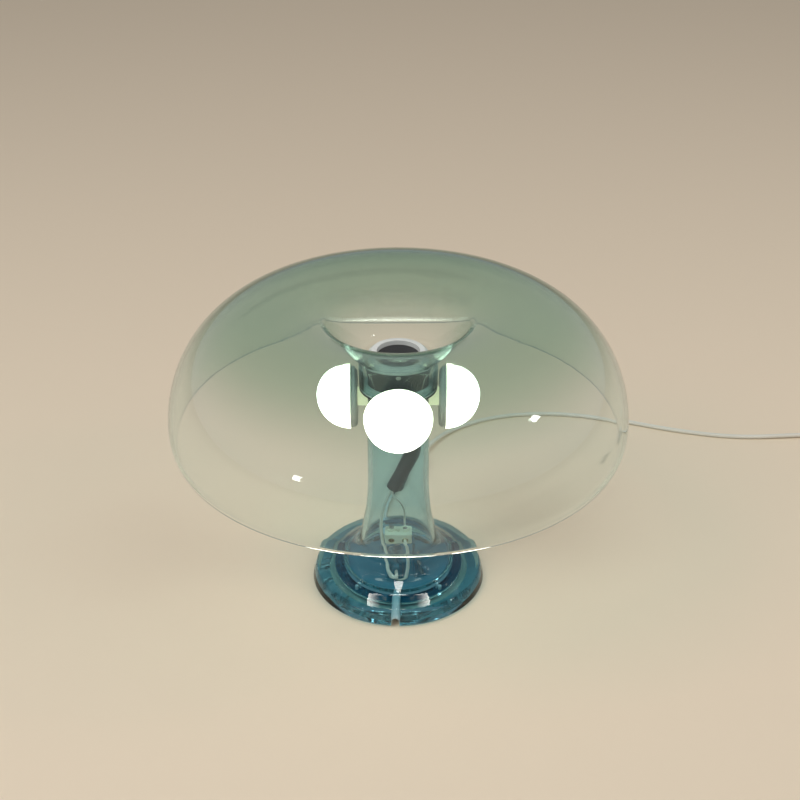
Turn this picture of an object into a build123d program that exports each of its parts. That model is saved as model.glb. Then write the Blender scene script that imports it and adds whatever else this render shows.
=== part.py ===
from build123d import *
import os
from math import atan2, ceil, cos, degrees, hypot, pi, radians, sin, sqrt, tan

os.makedirs("parts", exist_ok=True)

# Mushroom table lamp. Millimetres, +Z up, the lamp's axis on Z, z = 0 where it stands.
# The front of the lamp looks along -Y, the cord leaves at the back.

# ---------------------------------------------------------------- driving dimensions
# foot and stem, one moulding
foot_radius = 64.0
foot_ring_height = 1.0
foot_ring_width = 7.0
foot_edge_inset = 3.0        # the shoulder circle lies this much inside the foot's edge
shoulder_height = 12.0
hollow_radius = 44.5         # recess for the bottom plate
hollow_ledge = 5.0           # width of the ledge over the plate
flare_width = 8.2            # how far the neck opens out over the stem
flare_height = 25.6
flare_start = 68.0           # height where the stem begins to open
stem_radius = 22.0
stem_wall = 3.4
stem_top = 138.0
foot_wall = 4.0
notch_width = 8.0            # cord notch under the foot
notch_height = 9.5
front_notch_width = 6.0
front_notch_height = 7.0
back_notch_angle = 104.6     # degrees from +X
front_notch_angle = 268.0

# bottom plate and what stands on it
plate_thickness = 2.4
plate_clearance = 0.4
small_screw_radius = 1.25
small_head_radius = 2.4
small_head_height = 1.4

# shade
seat_to_funnel = 22.2        # straight collar
collar_radius = 24.0         # inside
shade_wall = 3.0
funnel_slope = 46.0          # degrees from level
lip_radius = 51.0            # where the funnel bends into the crest
lip_slope = 20.0
crest_radius = 86.0          # circle along the top of the crest
crest_bend = 86.0            # radius of the crest's section, inwards
dome_width = 74.0            # from the crest circle out to the widest circle
dome_drop = 81.0
rim_drop = 9.0
rim_tuck = 1.5

# hub
hub_radius = 20.8
hub_wall = 1.5
hub_height = 46.8
hub_floor = 1.6
seal_thickness = 1.0
seal_wall = 0.3
spigot_depth = 11.0
spigot_wall = 2.0
bulb_rise = 16.5             # bulb axis over the hub's lower edge
flange_rise = 24.0           # shade seat flange over the hub's lower edge
flange_thickness = 1.5
gasket_thickness = 1.0
gasket_lip = 3.6
fit = 0.4                    # running room between loose parts
ring_rise = 4.4
ring_bore = 14.8
ring_flat_radius = 18.5

# bulbs
globe_radius = 23.5
globe_wall = 1.2
body_radius = 22.3
body_length = 4.8
body_start = 28.2            # from the lamp's axis to the back of the bulb's body
neck_radius = 6.5
socket_front = 17.0
socket_length = 9.5
socket_width = 13.0
pin_radius = 0.8
pin_spread = 4.0
pin_length = 5.0
bulb_count = 4

# cord
cord_diameter = 3.6
coil_pitch = 4.2             # from turn to turn and from layer to layer
coil_turns = 9.25
coil_layers = 4
coil_mean_radius = 19.8
tie_thickness = 0.8
tie_width = 6.0
lead_diameter = 2.4
riser_diameter = 1.5

# in-line switch
switch_length = 46.0
switch_width = 15.0
switch_height = 13.0
switch_wall = 1.6
rocker_length = 16.0
rocker_width = 8.0
rocker_tilt = 9.0            # degrees either side of level
relief_length = 20.0
relief_seat = 8.0            # length of a relief that sits in its housing

# plug
plug_length = 36.0
plug_width = 35.0
plug_height = 14.0
plug_pin_radius = 2.0
plug_pin_length = 19.0
plug_pin_spread = 19.0

# ---------------------------------------------------------------- helpers
def save(name, *solids):
    """Write one node: the given solids, side by side, as one file."""
    shapes = [s for item in solids for s in item.solids()]
    node = shapes[0] if len(shapes) == 1 else Compound(children=shapes)
    node.label = name
    export_step(node, f"parts/{name}.step")


def corner_radii(points, wanted):
    """Fillet radius at each inner corner: the wanted one, or as much as its two runs allow."""
    radii = []
    for i in range(1, len(points) - 1):
        before = Vector(*points[i]) - Vector(*points[i - 1])
        after = Vector(*points[i + 1]) - Vector(*points[i])
        half_turn = radians(before.get_angle(after)) / 2
        largest = 0.45 * min(before.length, after.length) / tan(half_turn)
        radii.append(min(wanted[i - 1], largest))
    return radii


def rounded_line(points, wanted):
    """Straight runs through (radius, height) points, with rounded corners."""
    spots = [(r, 0, z) for r, z in points]
    return FilletPolyline(*spots, radius=corner_radii(spots, wanted)).edges()


def crossing(a, b, c, d):
    """Where the line through a and b meets the line through c and d."""
    u = (b[0] - a[0], b[1] - a[1])
    v = (d[0] - c[0], d[1] - c[1])
    cross = u[0] * v[1] - u[1] * v[0]
    t = ((c[0] - a[0]) * v[1] - (c[1] - a[1]) * v[0]) / cross
    return (a[0] + u[0] * t, a[1] + u[1] * t)


def offset_corners(points, distance):
    """The corners of the same line moved sideways, to the left of its direction of travel."""
    moved = []
    lines = []
    for (r0, z0), (r1, z1) in zip(points, points[1:]):
        run = hypot(r1 - r0, z1 - z0)
        side = (-(z1 - z0) / run * distance, (r1 - r0) / run * distance)
        lines.append(((r0 + side[0], z0 + side[1]), (r1 + side[0], z1 + side[1])))
    moved.append(lines[0][0])
    for (a, b), (c, d) in zip(lines, lines[1:]):
        moved.append(crossing(a, b, c, d))
    moved.append(lines[-1][1])
    return moved


def edge(a, b):
    return Edge.make_line((a[0], 0, a[1]), (b[0], 0, b[1]))


def turned(edges):
    """A solid of revolution about the lamp's axis from a closed outline in radius and height."""
    return revolve(Face(Wire(edges)), axis=Axis.Z)


def ring(inner, outer, low, high):
    """A plain ring or, with no inner radius, a disc."""
    body = Pos(0, 0, low) * Cylinder(outer, high - low, align=(Align.CENTER, Align.CENTER, Align.MIN))
    if inner > 0:
        hole = Cylinder(inner, high - low + 2, align=(Align.CENTER, Align.CENTER, Align.MIN))
        body -= Pos(0, 0, low - 1) * hole
    return body


def block(size, low_centre):
    """A box that stands on the given point, centred over it."""
    return Pos(*low_centre) * Box(*size, align=(Align.CENTER, Align.CENTER, Align.MIN))


def outwards(shape, angle):
    """Turn a shape built along +X so that it points out from the axis at this angle."""
    return Rot(0, 0, angle) * shape


def rod_along_x(radius, start, end, height, side=0.0):
    rod = Cylinder(radius, end - start, align=(Align.CENTER, Align.CENTER, Align.MIN))
    return Pos(start, side, height) * Rot(0, 90, 0) * rod


def screw(radius, head_radius, head_height, length):
    """A screw that stands head down on z = 0, with a cross slot in its head."""
    head = Cylinder(head_radius, head_height, align=(Align.CENTER, Align.CENTER, Align.MIN))
    shank = Cylinder(radius, length, align=(Align.CENTER, Align.CENTER, Align.MIN))
    slot_width = head_radius * 0.3
    slot_depth = head_height * 0.5
    slot = Box(head_radius * 1.3, slot_width, slot_depth, align=(Align.CENTER, Align.CENTER, Align.MIN))
    return head + Pos(0, 0, head_height) * shank - slot - Rot(0, 0, 90) * slot


def tube(path, diameter, bore=0.0):
    """A round rod, or a tube with a bore, swept along a path of lines and arcs."""
    wire = path if isinstance(path, Wire) else Wire(path.edges())
    start = wire.position_at(0)
    disc = Circle(diameter / 2) - Circle(bore / 2) if bore > 0 else Circle(diameter / 2)
    solid = sweep(Plane(origin=start, z_dir=wire.tangent_at(0)) * disc, path=wire)
    expected = pi * (diameter**2 - bore**2) / 4 * wire.length
    print(f"   tube length {wire.length:.1f}, volume {solid.volume:.0f} of {expected:.0f}")
    return solid, wire.length


def lead_run(name, points, diameter, bore=0.0):
    """A stretch of cord or lead: runs joined by arcs as large as the runs allow."""
    radii = corner_radii(points, [1e6] * (len(points) - 2))
    runs = [(Vector(*b) - Vector(*a)).length for a, b in zip(points, points[1:])]
    print(f"{name}: runs {[round(r, 1) for r in runs]}")
    print(f"{name}: radii {[round(r, 1) for r in radii]}, diameter {diameter}")
    return tube(FilletPolyline(*points, radius=radii), diameter, bore)


def along(start, heading, distance, height):
    """The point this far from start in the direction of heading, in degrees from +X."""
    angle = radians(heading)
    return (start[0] + distance * cos(angle), start[1] + distance * sin(angle), height)


def heading_of(a, b):
    return degrees(atan2(b[1] - a[1], b[0] - a[0]))


# ---------------------------------------------------------------- foot and stem
# One clear moulding: a thick foot ring round a hollow, and a tube stem that opens into it.
foot_bottom = foot_ring_height
foot_flat_radius = foot_radius - foot_edge_inset
outer_corners = [
    (stem_radius, stem_top),
    (stem_radius, flare_start),
    (stem_radius + flare_width, flare_height),
    (foot_flat_radius, shoulder_height),
    (foot_radius, foot_bottom),
]
ledge_radius = hollow_radius - hollow_ledge
plate_top = foot_bottom + plate_thickness
stem_bore = stem_radius - stem_wall
stem_offset = offset_corners(outer_corners[:3], -stem_wall)
roof_offset = offset_corners(outer_corners[2:4], -foot_wall)
neck_corner = crossing(stem_offset[1], stem_offset[2], roof_offset[0], roof_offset[1])
ledge_roof = crossing(roof_offset[0], roof_offset[1], (ledge_radius, 0), (ledge_radius, 1))
inner_corners = [
    (ledge_radius, plate_top),
    ledge_roof,
    neck_corner,
    (stem_bore, stem_offset[1][1]),
    (stem_bore, stem_top),
]
outer_bends = [250.0, 36.0, 4.5, 1.6]     # radii of the section's rounded corners
inner_bends = [5.0, 32.0, 246.0]
base_outline = [
    *rounded_line(outer_corners + [(foot_flat_radius, foot_bottom)], outer_bends),
    edge((foot_flat_radius, foot_bottom), (hollow_radius, foot_bottom)),
    edge((hollow_radius, foot_bottom), (hollow_radius, plate_top)),
    edge((hollow_radius, plate_top), (ledge_radius, plate_top)),
    *rounded_line(inner_corners, inner_bends),
    edge((stem_bore, stem_top), (stem_radius, stem_top)),
]


def notch(width, height, angle):
    """The cutter of a radial cord notch, round-topped, from the hollow out past the foot's edge."""
    inner, outer = ledge_radius - 4, foot_radius + 4
    lower = Box(outer - inner, width, height - width / 2 + 1, align=(Align.MIN, Align.CENTER, Align.MIN))
    top = rod_along_x(width / 2, 0, outer - inner, height - width / 2)
    return outwards(Pos(inner, 0, 0) * (Pos(0, 0, -1) * lower + top), angle)


back_notch = notch(notch_width, notch_height, back_notch_angle)
front_notch = notch(front_notch_width, front_notch_height, front_notch_angle)
plate_screw_circle = ledge_radius + 0.35 * hollow_ledge
plate_screw_angles = [20, 160, 225, 315]
screw_room = 0.05
plate_screw_length = 5.5
screw_hole = Cylinder(small_screw_radius + screw_room, 2 * (plate_screw_length + small_head_height + 0.5))
base = turned(base_outline) - back_notch - front_notch
for angle in plate_screw_angles:
    base -= outwards(Pos(plate_screw_circle, 0, foot_bottom) * screw_hole, angle)
save("base_stem", base)

ring_middle = (foot_flat_radius + hollow_radius) / 2
foot_ring = ring(ring_middle - foot_ring_width / 2, ring_middle + foot_ring_width / 2, 0, foot_ring_height)
save("foot_ring", foot_ring - back_notch - front_notch)

# ---------------------------------------------------------------- bottom plate
# Clear disc in the foot's recess, on four screws, with two cheeks that hold the cord relief.
relief_front = (-1.6, -9.0)
relief_back = (-5.2, 10.6)
relief_angle = degrees(atan2(relief_back[1] - relief_front[1], relief_back[0] - relief_front[0]))
lamp_relief_radius = 3.6
lamp_relief_tip = 2.7
relief_axis_height = plate_top + lamp_relief_radius + 0.1
cheek_thickness = 1.6
cheek_length = 8.0
cheek_start = 4.0
plate = ring(0, hollow_radius - plate_clearance, foot_bottom, plate_top)
for side in (-1, 1):
    offset = side * (lamp_relief_radius + 0.15 + cheek_thickness / 2)
    cheek = block((cheek_length, cheek_thickness, lamp_relief_radius + 1.5),
                  (cheek_start + cheek_length / 2, offset, plate_top - 0.5))
    plate += Pos(*relief_front, 0) * outwards(cheek, relief_angle)
plate -= outwards(block((12, notch_width, 20), (hollow_radius, 0, -5)), back_notch_angle)
screw_sink = small_head_height + 0.1
sink = Cylinder(small_head_radius + 0.1, screw_sink, align=(Align.CENTER, Align.CENTER, Align.MIN))
for angle in plate_screw_angles:
    plate -= outwards(Pos(plate_screw_circle, 0, foot_bottom) * (screw_hole + sink), angle)
bracket_screw_x = 16.5
plate -= Pos(bracket_screw_x, 0, foot_bottom) * (screw_hole + sink)
clamp_reach = 5.2            # from the cord to each clamp screw
clamp_width = 6.0
clamp_distance = 5.0         # from the relief's tip to the clamp's middle
clamp_wall = 1.6
clamp_middle = along(relief_back, relief_angle, clamp_distance, 0)
clamp_top = relief_axis_height + cord_diameter / 2 + clamp_wall
clamp_screw_spots = [
    along(clamp_middle, relief_angle + 90, side * clamp_reach, clamp_top) for side in (-1, 1)
]
clamp_screw_depth = clamp_top - plate_top + 0.7 * plate_thickness
for spot in clamp_screw_spots:
    plate -= Pos(*spot) * Cylinder(small_screw_radius + screw_room, 2 * clamp_screw_depth)
save("bottom_plate", plate)

plate_screw = screw(small_screw_radius, small_head_radius, small_head_height, plate_screw_length)
seat = screw_sink - small_head_height
plate_screws = [
    outwards(Pos(plate_screw_circle, 0, foot_bottom + seat) * plate_screw, angle)
    for angle in plate_screw_angles
]
plate_screws.append(Pos(bracket_screw_x, 0, foot_bottom + seat) * plate_screw)
save("plate_screws", *plate_screws)

# ---------------------------------------------------------------- terminal block on its bracket
# A two-way screw block on a bent sheet bracket that stands on the bottom plate.
bracket_sheet = 1.4
bracket_width = 10.0
bracket_leg_x = 11.0
bracket_shelf = 30.5         # height of the shelf's top
bracket_foot_end = 20.5
block_size = (20.0, 12.0, 8.5)
terminal_x = 5.0
wire_bore_rise = 3.1
barrel_radius = 2.3
bracket = block((bracket_leg_x + bracket_sheet + block_size[0] / 2, bracket_width, bracket_sheet),
                ((bracket_leg_x + bracket_sheet - block_size[0] / 2) / 2, 0, bracket_shelf - bracket_sheet))
bracket += block((bracket_sheet, bracket_width, bracket_shelf - plate_top),
                 (bracket_leg_x + bracket_sheet / 2, 0, plate_top))
bracket += block((bracket_foot_end - bracket_leg_x, bracket_width, bracket_sheet),
                 ((bracket_foot_end + bracket_leg_x) / 2, 0, plate_top))
bracket -= Pos(bracket_screw_x, 0, plate_top) * Cylinder(small_screw_radius + screw_room, 6)
save("terminal_bracket", bracket)

bore_height = bracket_shelf + wire_bore_rise
block_top = bracket_shelf + block_size[2]
turret_radius = 3.1
turret_height = 2.2
screw_offset = 0.8           # the terminal screws stand this much behind the block's middle
terminal = fillet(block(block_size, (0, 0, bracket_shelf)).edges().filter_by(Axis.Z), 1.5)
for x in (-terminal_x, terminal_x):
    terminal += Pos(x, screw_offset, block_top) * Cylinder(
        turret_radius, turret_height, align=(Align.CENTER, Align.CENTER, Align.MIN))
wire_bore = Rot(90, 0, 0) * Cylinder(barrel_radius + 0.1, block_size[1] + 2)
screw_well_radius = 1.9
for x in (-terminal_x, terminal_x):
    terminal -= Pos(x, 0, bore_height) * wire_bore
    terminal -= Pos(x, screw_offset, bore_height) * Cylinder(
        screw_well_radius, 20, align=(Align.CENTER, Align.CENTER, Align.MIN))
terminal -= Pos(0, 0, bracket_shelf) * Cylinder(1.4, 40)
save("terminal_block", terminal)

barrel = Rot(90, 0, 0) * Cylinder(barrel_radius, block_size[1] - 1.0)
barrel -= Rot(90, 0, 0) * Cylinder(lead_diameter / 2 + 0.1, block_size[1] + 2)
barrel -= Pos(0, screw_offset, 0) * Cylinder(screw_well_radius, 10, align=(Align.CENTER, Align.CENTER, Align.MIN))
save("terminal_barrels", *[Pos(x, 0, bore_height) * barrel for x in (-terminal_x, terminal_x)])

grub_top = [block_top + turret_height + 1.2, block_top + turret_height - 0.4]
grubs = []
for x, top in zip((-terminal_x, terminal_x), grub_top):
    low = bore_height + lead_diameter / 2 + 0.3
    grub = ring(0, screw_well_radius - 0.15, low, top) - block((6, 0.7, 1.0), (0, 0, top - 0.8))
    grubs.append(Pos(x, screw_offset, 0) * grub)
save("terminal_screws", *grubs)

# ---------------------------------------------------------------- cord relief, clamp and leads in the foot
relief_length_in_lamp = hypot(relief_back[0] - relief_front[0], relief_back[1] - relief_front[1])


def tapered_relief(length, wide, narrow, ribs):
    """A moulded cord relief along +X: a cone with collars round it."""
    outline = [edge((0, 0), (wide, 0)), edge((wide, 0), (narrow, length)),
               edge((narrow, length), (0, length)), edge((0, length), (0, 0))]
    cone = turned(outline)
    for i in range(ribs):
        low = length * (0.06 + 0.8 * i / ribs)
        outer = wide + (narrow - wide) * low / length + 0.05
        groove = ring(outer - 0.7, outer + 3, low + length * 0.4 / ribs, low + length * 0.75 / ribs)
        cone -= groove
    return Rot(0, 90, 0) * cone


lamp_relief = outwards(tapered_relief(relief_length_in_lamp, lamp_relief_radius, lamp_relief_tip, 5),
                       relief_angle)
save("cord_relief", Pos(*relief_front, relief_axis_height) * lamp_relief)

clamp = block((clamp_width, 2 * (clamp_reach + small_head_radius + 0.4), clamp_top - plate_top),
              (0, 0, plate_top))
clamp -= rod_along_x(cord_diameter / 2 + 0.1, -clamp_width, clamp_width, relief_axis_height)
for side in (-1, 1):
    clamp -= Pos(0, side * clamp_reach, clamp_top) * Cylinder(small_screw_radius + screw_room, 40)
save("cord_clamp", Pos(clamp_middle[0], clamp_middle[1], 0) * outwards(clamp, relief_angle))
clamp_screw = Pos(0, 0, small_head_height) * Rot(180, 0, 0) * screw(
    small_screw_radius, small_head_radius, small_head_height, clamp_screw_depth - 0.1)
save("clamp_screws", *[Pos(*spot) * clamp_screw for spot in clamp_screw_spots])

lead_rise = 1.25             # the two cores leave the relief one over the other
block_front = -block_size[1] / 2
light_lead = [
    (relief_front[0], relief_front[1], relief_axis_height - lead_rise),
    (relief_front[0] + 1.2, relief_front[1] - 4.5, relief_axis_height - lead_rise),
    (4.8, -14.6, relief_axis_height + 0.6),
    (7.6, -13.4, 16.0),
    (6.6, -12.8, 26.0),
    (terminal_x, block_front - 6.0, bore_height),
    (terminal_x, block_front + 4.0, bore_height),
]
save("lead_light", lead_run("lead_light", light_lead, lead_diameter)[0])

# ---------------------------------------------------------------- hub on top of the stem
# A soft seal, a turned metal can with a flange for the shade, and the plate that carries the sockets.
hub_bottom = stem_top + seal_thickness
hub_top = hub_bottom + hub_height
hub_inside = hub_radius - hub_wall
floor_top = hub_bottom + hub_floor
bulb_height = hub_bottom + bulb_rise
small_room = 0.05
spigot_radius = stem_bore - 2 * small_room - seal_wall
spigot_bore = spigot_radius - spigot_wall
sleeve = ring(spigot_radius + small_room, stem_bore - small_room, stem_top - spigot_depth, hub_bottom)
washer = ring(stem_bore - small_room, stem_radius, stem_top, hub_bottom)
save("stem_seal", sleeve + washer)

flange_low = hub_bottom + flange_rise
flange_top = flange_low + flange_thickness
seat_height = flange_top + gasket_thickness
flange_radius = collar_radius + shade_wall - 0.1
socket_plate_rise = 6.4
socket_plate_thickness = 1.5
socket_plate_low = floor_top + socket_plate_rise
socket_low = socket_plate_low + socket_plate_thickness
leg_place = 9.0
leg_radius = 2.5
wire_hole_radius = 5.0
neck_hole_radius = neck_radius + 0.7
cap_screw_radius = 1.0
cap_screw_height = hub_top - 2.8
cap_screw_angles = [30, 150, 270]
bulb_angles = [360 * i / bulb_count for i in range(bulb_count)]

hub = ring(hub_inside, hub_radius, hub_bottom, hub_top)
hub += ring(wire_hole_radius, hub_radius, hub_bottom, floor_top)
hub += ring(spigot_bore, spigot_radius, stem_top - spigot_depth - 1, floor_top)
hub += ring(hub_inside, flange_radius, flange_low, flange_top)
for angle in bulb_angles:
    hub -= outwards(rod_along_x(neck_hole_radius, hub_inside - 4, hub_radius + 4, bulb_height), angle)
for angle in cap_screw_angles:
    hole = rod_along_x(cap_screw_radius + screw_room, hub_inside - 4, hub_radius + 4, cap_screw_height)
    hub -= outwards(hole, angle)
leg_spots = [(a * leg_place, b * leg_place) for a in (-1, 1) for b in (-1, 1)]
for x, y in leg_spots:
    hub -= Pos(x, y, hub_bottom) * Cylinder(small_screw_radius + screw_room, 4 * hub_floor)
save("hub", hub)

gasket_inside = hub_radius + fit
gasket = ring(gasket_inside, collar_radius + shade_wall, flange_top, seat_height)
gasket += ring(gasket_inside, collar_radius - fit, flange_top, seat_height + gasket_lip)
save("shade_gasket", gasket)

# ---------------------------------------------------------------- ring and cap that close the hub
skirt_outside = hub_inside - 0.3
skirt_wall = 1.8
skirt_depth = 5.8
ledge_width = 2.3
cap_ledge_top = hub_top - 0.6
ring_top = hub_top + ring_rise
top_outline = [
    (ring_bore, cap_ledge_top),
    (ring_bore, ring_top),
    (ring_flat_radius, ring_top),
    (hub_radius, ring_top - 0.45 * ring_rise),
    (hub_radius, hub_top),
    (skirt_outside, hub_top),
    (skirt_outside, hub_top - skirt_depth),
    (skirt_outside - skirt_wall, hub_top - skirt_depth),
    (skirt_outside - skirt_wall, cap_ledge_top - 1.5),
    (ring_bore - ledge_width, cap_ledge_top - 1.5),
    (ring_bore - ledge_width, cap_ledge_top),
]
top_ring = turned([edge(a, b) for a, b in zip(top_outline, top_outline[1:] + top_outline[:1])])
for angle in cap_screw_angles:
    thread = rod_along_x(cap_screw_radius + screw_room, skirt_outside - 4, skirt_outside + 2, cap_screw_height)
    top_ring -= outwards(thread, angle)
save("top_ring", top_ring)
cap_thickness = 2.0
save("top_cap", ring(0, ring_bore - 0.3, cap_ledge_top, cap_ledge_top + cap_thickness))

cap_screw_head = 1.6
cap_screw = screw(cap_screw_radius, cap_screw_head, 1.0, 3.6)
cap_screw = Pos(hub_radius + 1.0 + small_room, 0, cap_screw_height) * Rot(0, -90, 0) * cap_screw
save("cap_screws", *[outwards(cap_screw, angle) for angle in cap_screw_angles])

# ---------------------------------------------------------------- sockets on their plate, connector, leads
plate_disc = ring(2.4 + riser_diameter, hub_inside - fit, socket_plate_low, socket_low)
socket_screw_radius = 1.0
socket_screw_place = socket_front - socket_length + 2.2
for x, y in leg_spots:
    leg = ring(0, leg_radius, floor_top, socket_low)
    bore = Cylinder(small_screw_radius + screw_room, 2 * (socket_plate_rise - 0.4))
    plate_disc += Pos(x, y, 0) * leg
    plate_disc -= Pos(x, y, floor_top) * bore
for angle in bulb_angles:
    thread = Cylinder(socket_screw_radius + screw_room, 40)
    plate_disc -= outwards(Pos(socket_screw_place, 0, socket_low) * thread, angle)
save("socket_plate", plate_disc)
plate_bolt_length = hub_floor + socket_plate_rise - 1.0
plate_bolt = screw(small_screw_radius, small_head_radius, small_head_height, plate_bolt_length)
save("plate_bolts", *[Pos(x, y, hub_bottom - small_head_height) * plate_bolt for x, y in leg_spots])

socket_height = 2 * (bulb_height - socket_low)
pin_hole = rod_along_x(pin_radius + 0.3, socket_front - pin_length - 1.0, socket_front + 2, bulb_height)
socket = Pos(socket_front - socket_length / 2, 0, 0) * block(
    (socket_length, socket_width, socket_height), (0, 0, socket_low))
socket = fillet(socket.edges().filter_by(Axis.X), 1.2)
for side in (-1, 1):
    socket -= Pos(0, side * pin_spread / 2, 0) * pin_hole
socket -= Pos(socket_screw_place, 0, socket_low) * Cylinder(socket_screw_radius + screw_room, 60)
for i, angle in enumerate(bulb_angles):
    save(f"socket_{i + 1}", outwards(socket, angle))
socket_screw_head = 1.8
socket_screw_length = socket_height + socket_plate_thickness - 0.1
socket_screw = Pos(socket_screw_place, 0, socket_low + socket_height + 1.0) * Rot(180, 0, 0) * screw(
    socket_screw_radius, socket_screw_head, 1.0, socket_screw_length)
save("socket_screws", *[outwards(socket_screw, angle) for angle in bulb_angles])

connector_side = 9.0
connector_height = 11.0
connector = chamfer(
    block((connector_side, connector_side, connector_height), (0, 0, socket_low)).edges().filter_by(Axis.Z), 0.8)
save("hub_connector", connector)
socket_lead_radius = 0.6
socket_lead = rod_along_x(socket_lead_radius, connector_side / 2, socket_front - socket_length, socket_low + 3.5)
socket_leads = []
for angle in bulb_angles:
    for side in (-1, 1):
        socket_leads.append(outwards(Pos(0, side * pin_spread / 2, 0) * socket_lead, angle))
save("socket_leads", *socket_leads)

# ---------------------------------------------------------------- wiring in the stem
# A black sleeve hangs from the hub close to the stem's wall. One core of the cord runs through it
# up to the connector, beside the thinner lead that comes from the terminal block.
sleeve_diameter = 10.0
sleeve_bore = 4.8
sleeve_line = [(4.0, 5.0), (10.6, 15.5), (12.0, 28.0), (-4.0, 61.0)]     # (x, depth under the hub)
sleeve_spots = [(x, hub_bottom - depth) for x, depth in sleeve_line]
lead_straight = 4.0          # how far the leads run on straight below the sleeve
long_offset = sleeve_bore / 2 - small_room - lead_diameter / 2     # side by side, against the bore
riser_offset = riser_diameter / 2 + small_room - sleeve_bore / 2
sleeve_points = [(x, 0, z) for x, z in sleeve_spots]
save("wire_sleeve", lead_run("wire_sleeve", sleeve_points, sleeve_diameter, sleeve_bore)[0])

entry = crossing(sleeve_spots[0], sleeve_spots[1], (0, 0), (0, 1))
sleeve_drop = Vector(*sleeve_points[3]) - Vector(*sleeve_points[2])
sleeve_exit = Vector(*sleeve_points[3]) + sleeve_drop.normalized() * lead_straight


def through_sleeve(offset):
    """A lead's points from just below the sleeve, up through it and on to the connector."""
    spots = [(sleeve_exit.X, sleeve_exit.Z), *sleeve_spots[2:0:-1], entry, (0, socket_low)]
    return [(x, offset, z) for x, z in spots]


long_lead = [
    (relief_front[0], relief_front[1], relief_axis_height + lead_rise),
    (relief_front[0] + 0.6, relief_front[1] - 4.0, relief_axis_height + lead_rise + 0.4),
    (-3.2, -16.4, 9.9),
    (-7.2, -14.6, 12.6),
    (-9.2, -9.0, 17.2),
    (-10.4, -4.2, 24.6),
    (-12.2, -1.0, 33.0),
    (-12.9, 0.3, 42.0),
    (-12.2, 0.8, 52.0),
    (-10.4, long_offset, 62.0),
    *through_sleeve(long_offset),
]
save("lead_long", lead_run("lead_long", long_lead, lead_diameter)[0])

riser_lead = [
    (terminal_x, 3.2, bore_height),
    (terminal_x, 10.0, bore_height + 0.6),
    (4.8, 11.6, bore_height + 11.0),
    (4.4, 5.0, bore_height + 22.0),
    (1.4, riser_offset, bore_height + 33.0),
    *through_sleeve(riser_offset),
]
save("riser_lead", lead_run("riser_lead", riser_lead, riser_diameter)[0])

# ---------------------------------------------------------------- bulbs
# Four round bulbs on two pins each: opal half globe, metal body with its neck, lamp board.
body_front = body_start + body_length
lip_depth = 1.2
neck_start = socket_front + 0.3
bulb_outline = [
    (0, neck_start),
    (neck_radius, neck_start),
    (neck_radius, body_start),
    (body_radius - 1.6, body_start),
    (body_radius, body_start + 1.6),
    (body_radius, body_front - lip_depth),
    (globe_radius - 0.4, body_front - lip_depth),
    (globe_radius - 0.4, body_front),
    (0, body_front),
]
bulb_body = turned([edge(a, b) for a, b in zip(bulb_outline, bulb_outline[1:] + bulb_outline[:1])])


def quarter_circle(radius):
    half = radius * sqrt(0.5)
    return ThreePointArc((radius, 0, 0), (half, 0, half), (0, 0, radius))


globe_inside = globe_radius - globe_wall
globe = turned([
    quarter_circle(globe_radius),
    edge((0, globe_radius), (0, globe_inside)),
    quarter_circle(globe_inside),
    edge((globe_inside, 0), (globe_radius, 0)),
])
board_radius = 19.0
board_thickness = 1.0
chip_count = 8
board = ring(0, board_radius, body_front, body_front + board_thickness)
for i in range(chip_count):
    chip = block((2.8, 2.8, 0.8), (board_radius * 0.62, 0, body_front + board_thickness))
    board += outwards(chip, 360 * i / chip_count)
pin_root = 5.0
pin_low = socket_front - pin_length
pins = []
for side in (-1, 1):
    spot = (side * pin_spread / 2, 0, pin_low)
    pin = ring(0, pin_radius, 0, neck_start + pin_root - pin_low)
    pins.append(Pos(*spot) * fillet(pin.edges().sort_by(Axis.Z)[0], 0.5))
    hole = ring(0, pin_radius + small_room, 0, neck_start + pin_root + small_room - pin_low)
    bulb_body -= Pos(*spot) * hole


def bulb_piece(shape, angle):
    """Lay a piece built round +Z down along a bulb's own axis."""
    return outwards(Pos(0, 0, bulb_height) * Rot(0, 90, 0) * Rot(0, 0, 90) * shape, angle)


for i, angle in enumerate(bulb_angles):
    name = f"bulb_{i + 1}"
    save(f"{name}_globe", bulb_piece(Pos(0, 0, body_front) * globe, angle))
    save(f"{name}_body", bulb_piece(bulb_body, angle))
    save(f"{name}_board", bulb_piece(board, angle))
    save(f"{name}_pins", *[bulb_piece(pin, angle) for pin in pins])

# ---------------------------------------------------------------- shade
# One moulding: collar, funnel, rolled crest and dome, everywhere of one wall.
lip_height = seat_height + seat_to_funnel + (lip_radius - collar_radius) * tan(radians(funnel_slope))
slope = radians(lip_slope)
crest_start = crest_radius - crest_bend * sin(slope)
crest_start_height = lip_height + (crest_start - lip_radius) * tan(slope)
crest_height = crest_start_height + crest_bend * (1 - cos(slope))
widest_height = crest_height - dome_drop
rim_height = widest_height - rim_drop
rim_radius = crest_radius + dome_width - rim_tuck


def arc_point(centre, radius, turn):
    """A point on the crest's arc, this many degrees back from its top."""
    angle = radians(turn)
    return (centre[0] - radius * sin(angle), 0, centre[1] + radius * cos(angle))


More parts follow.
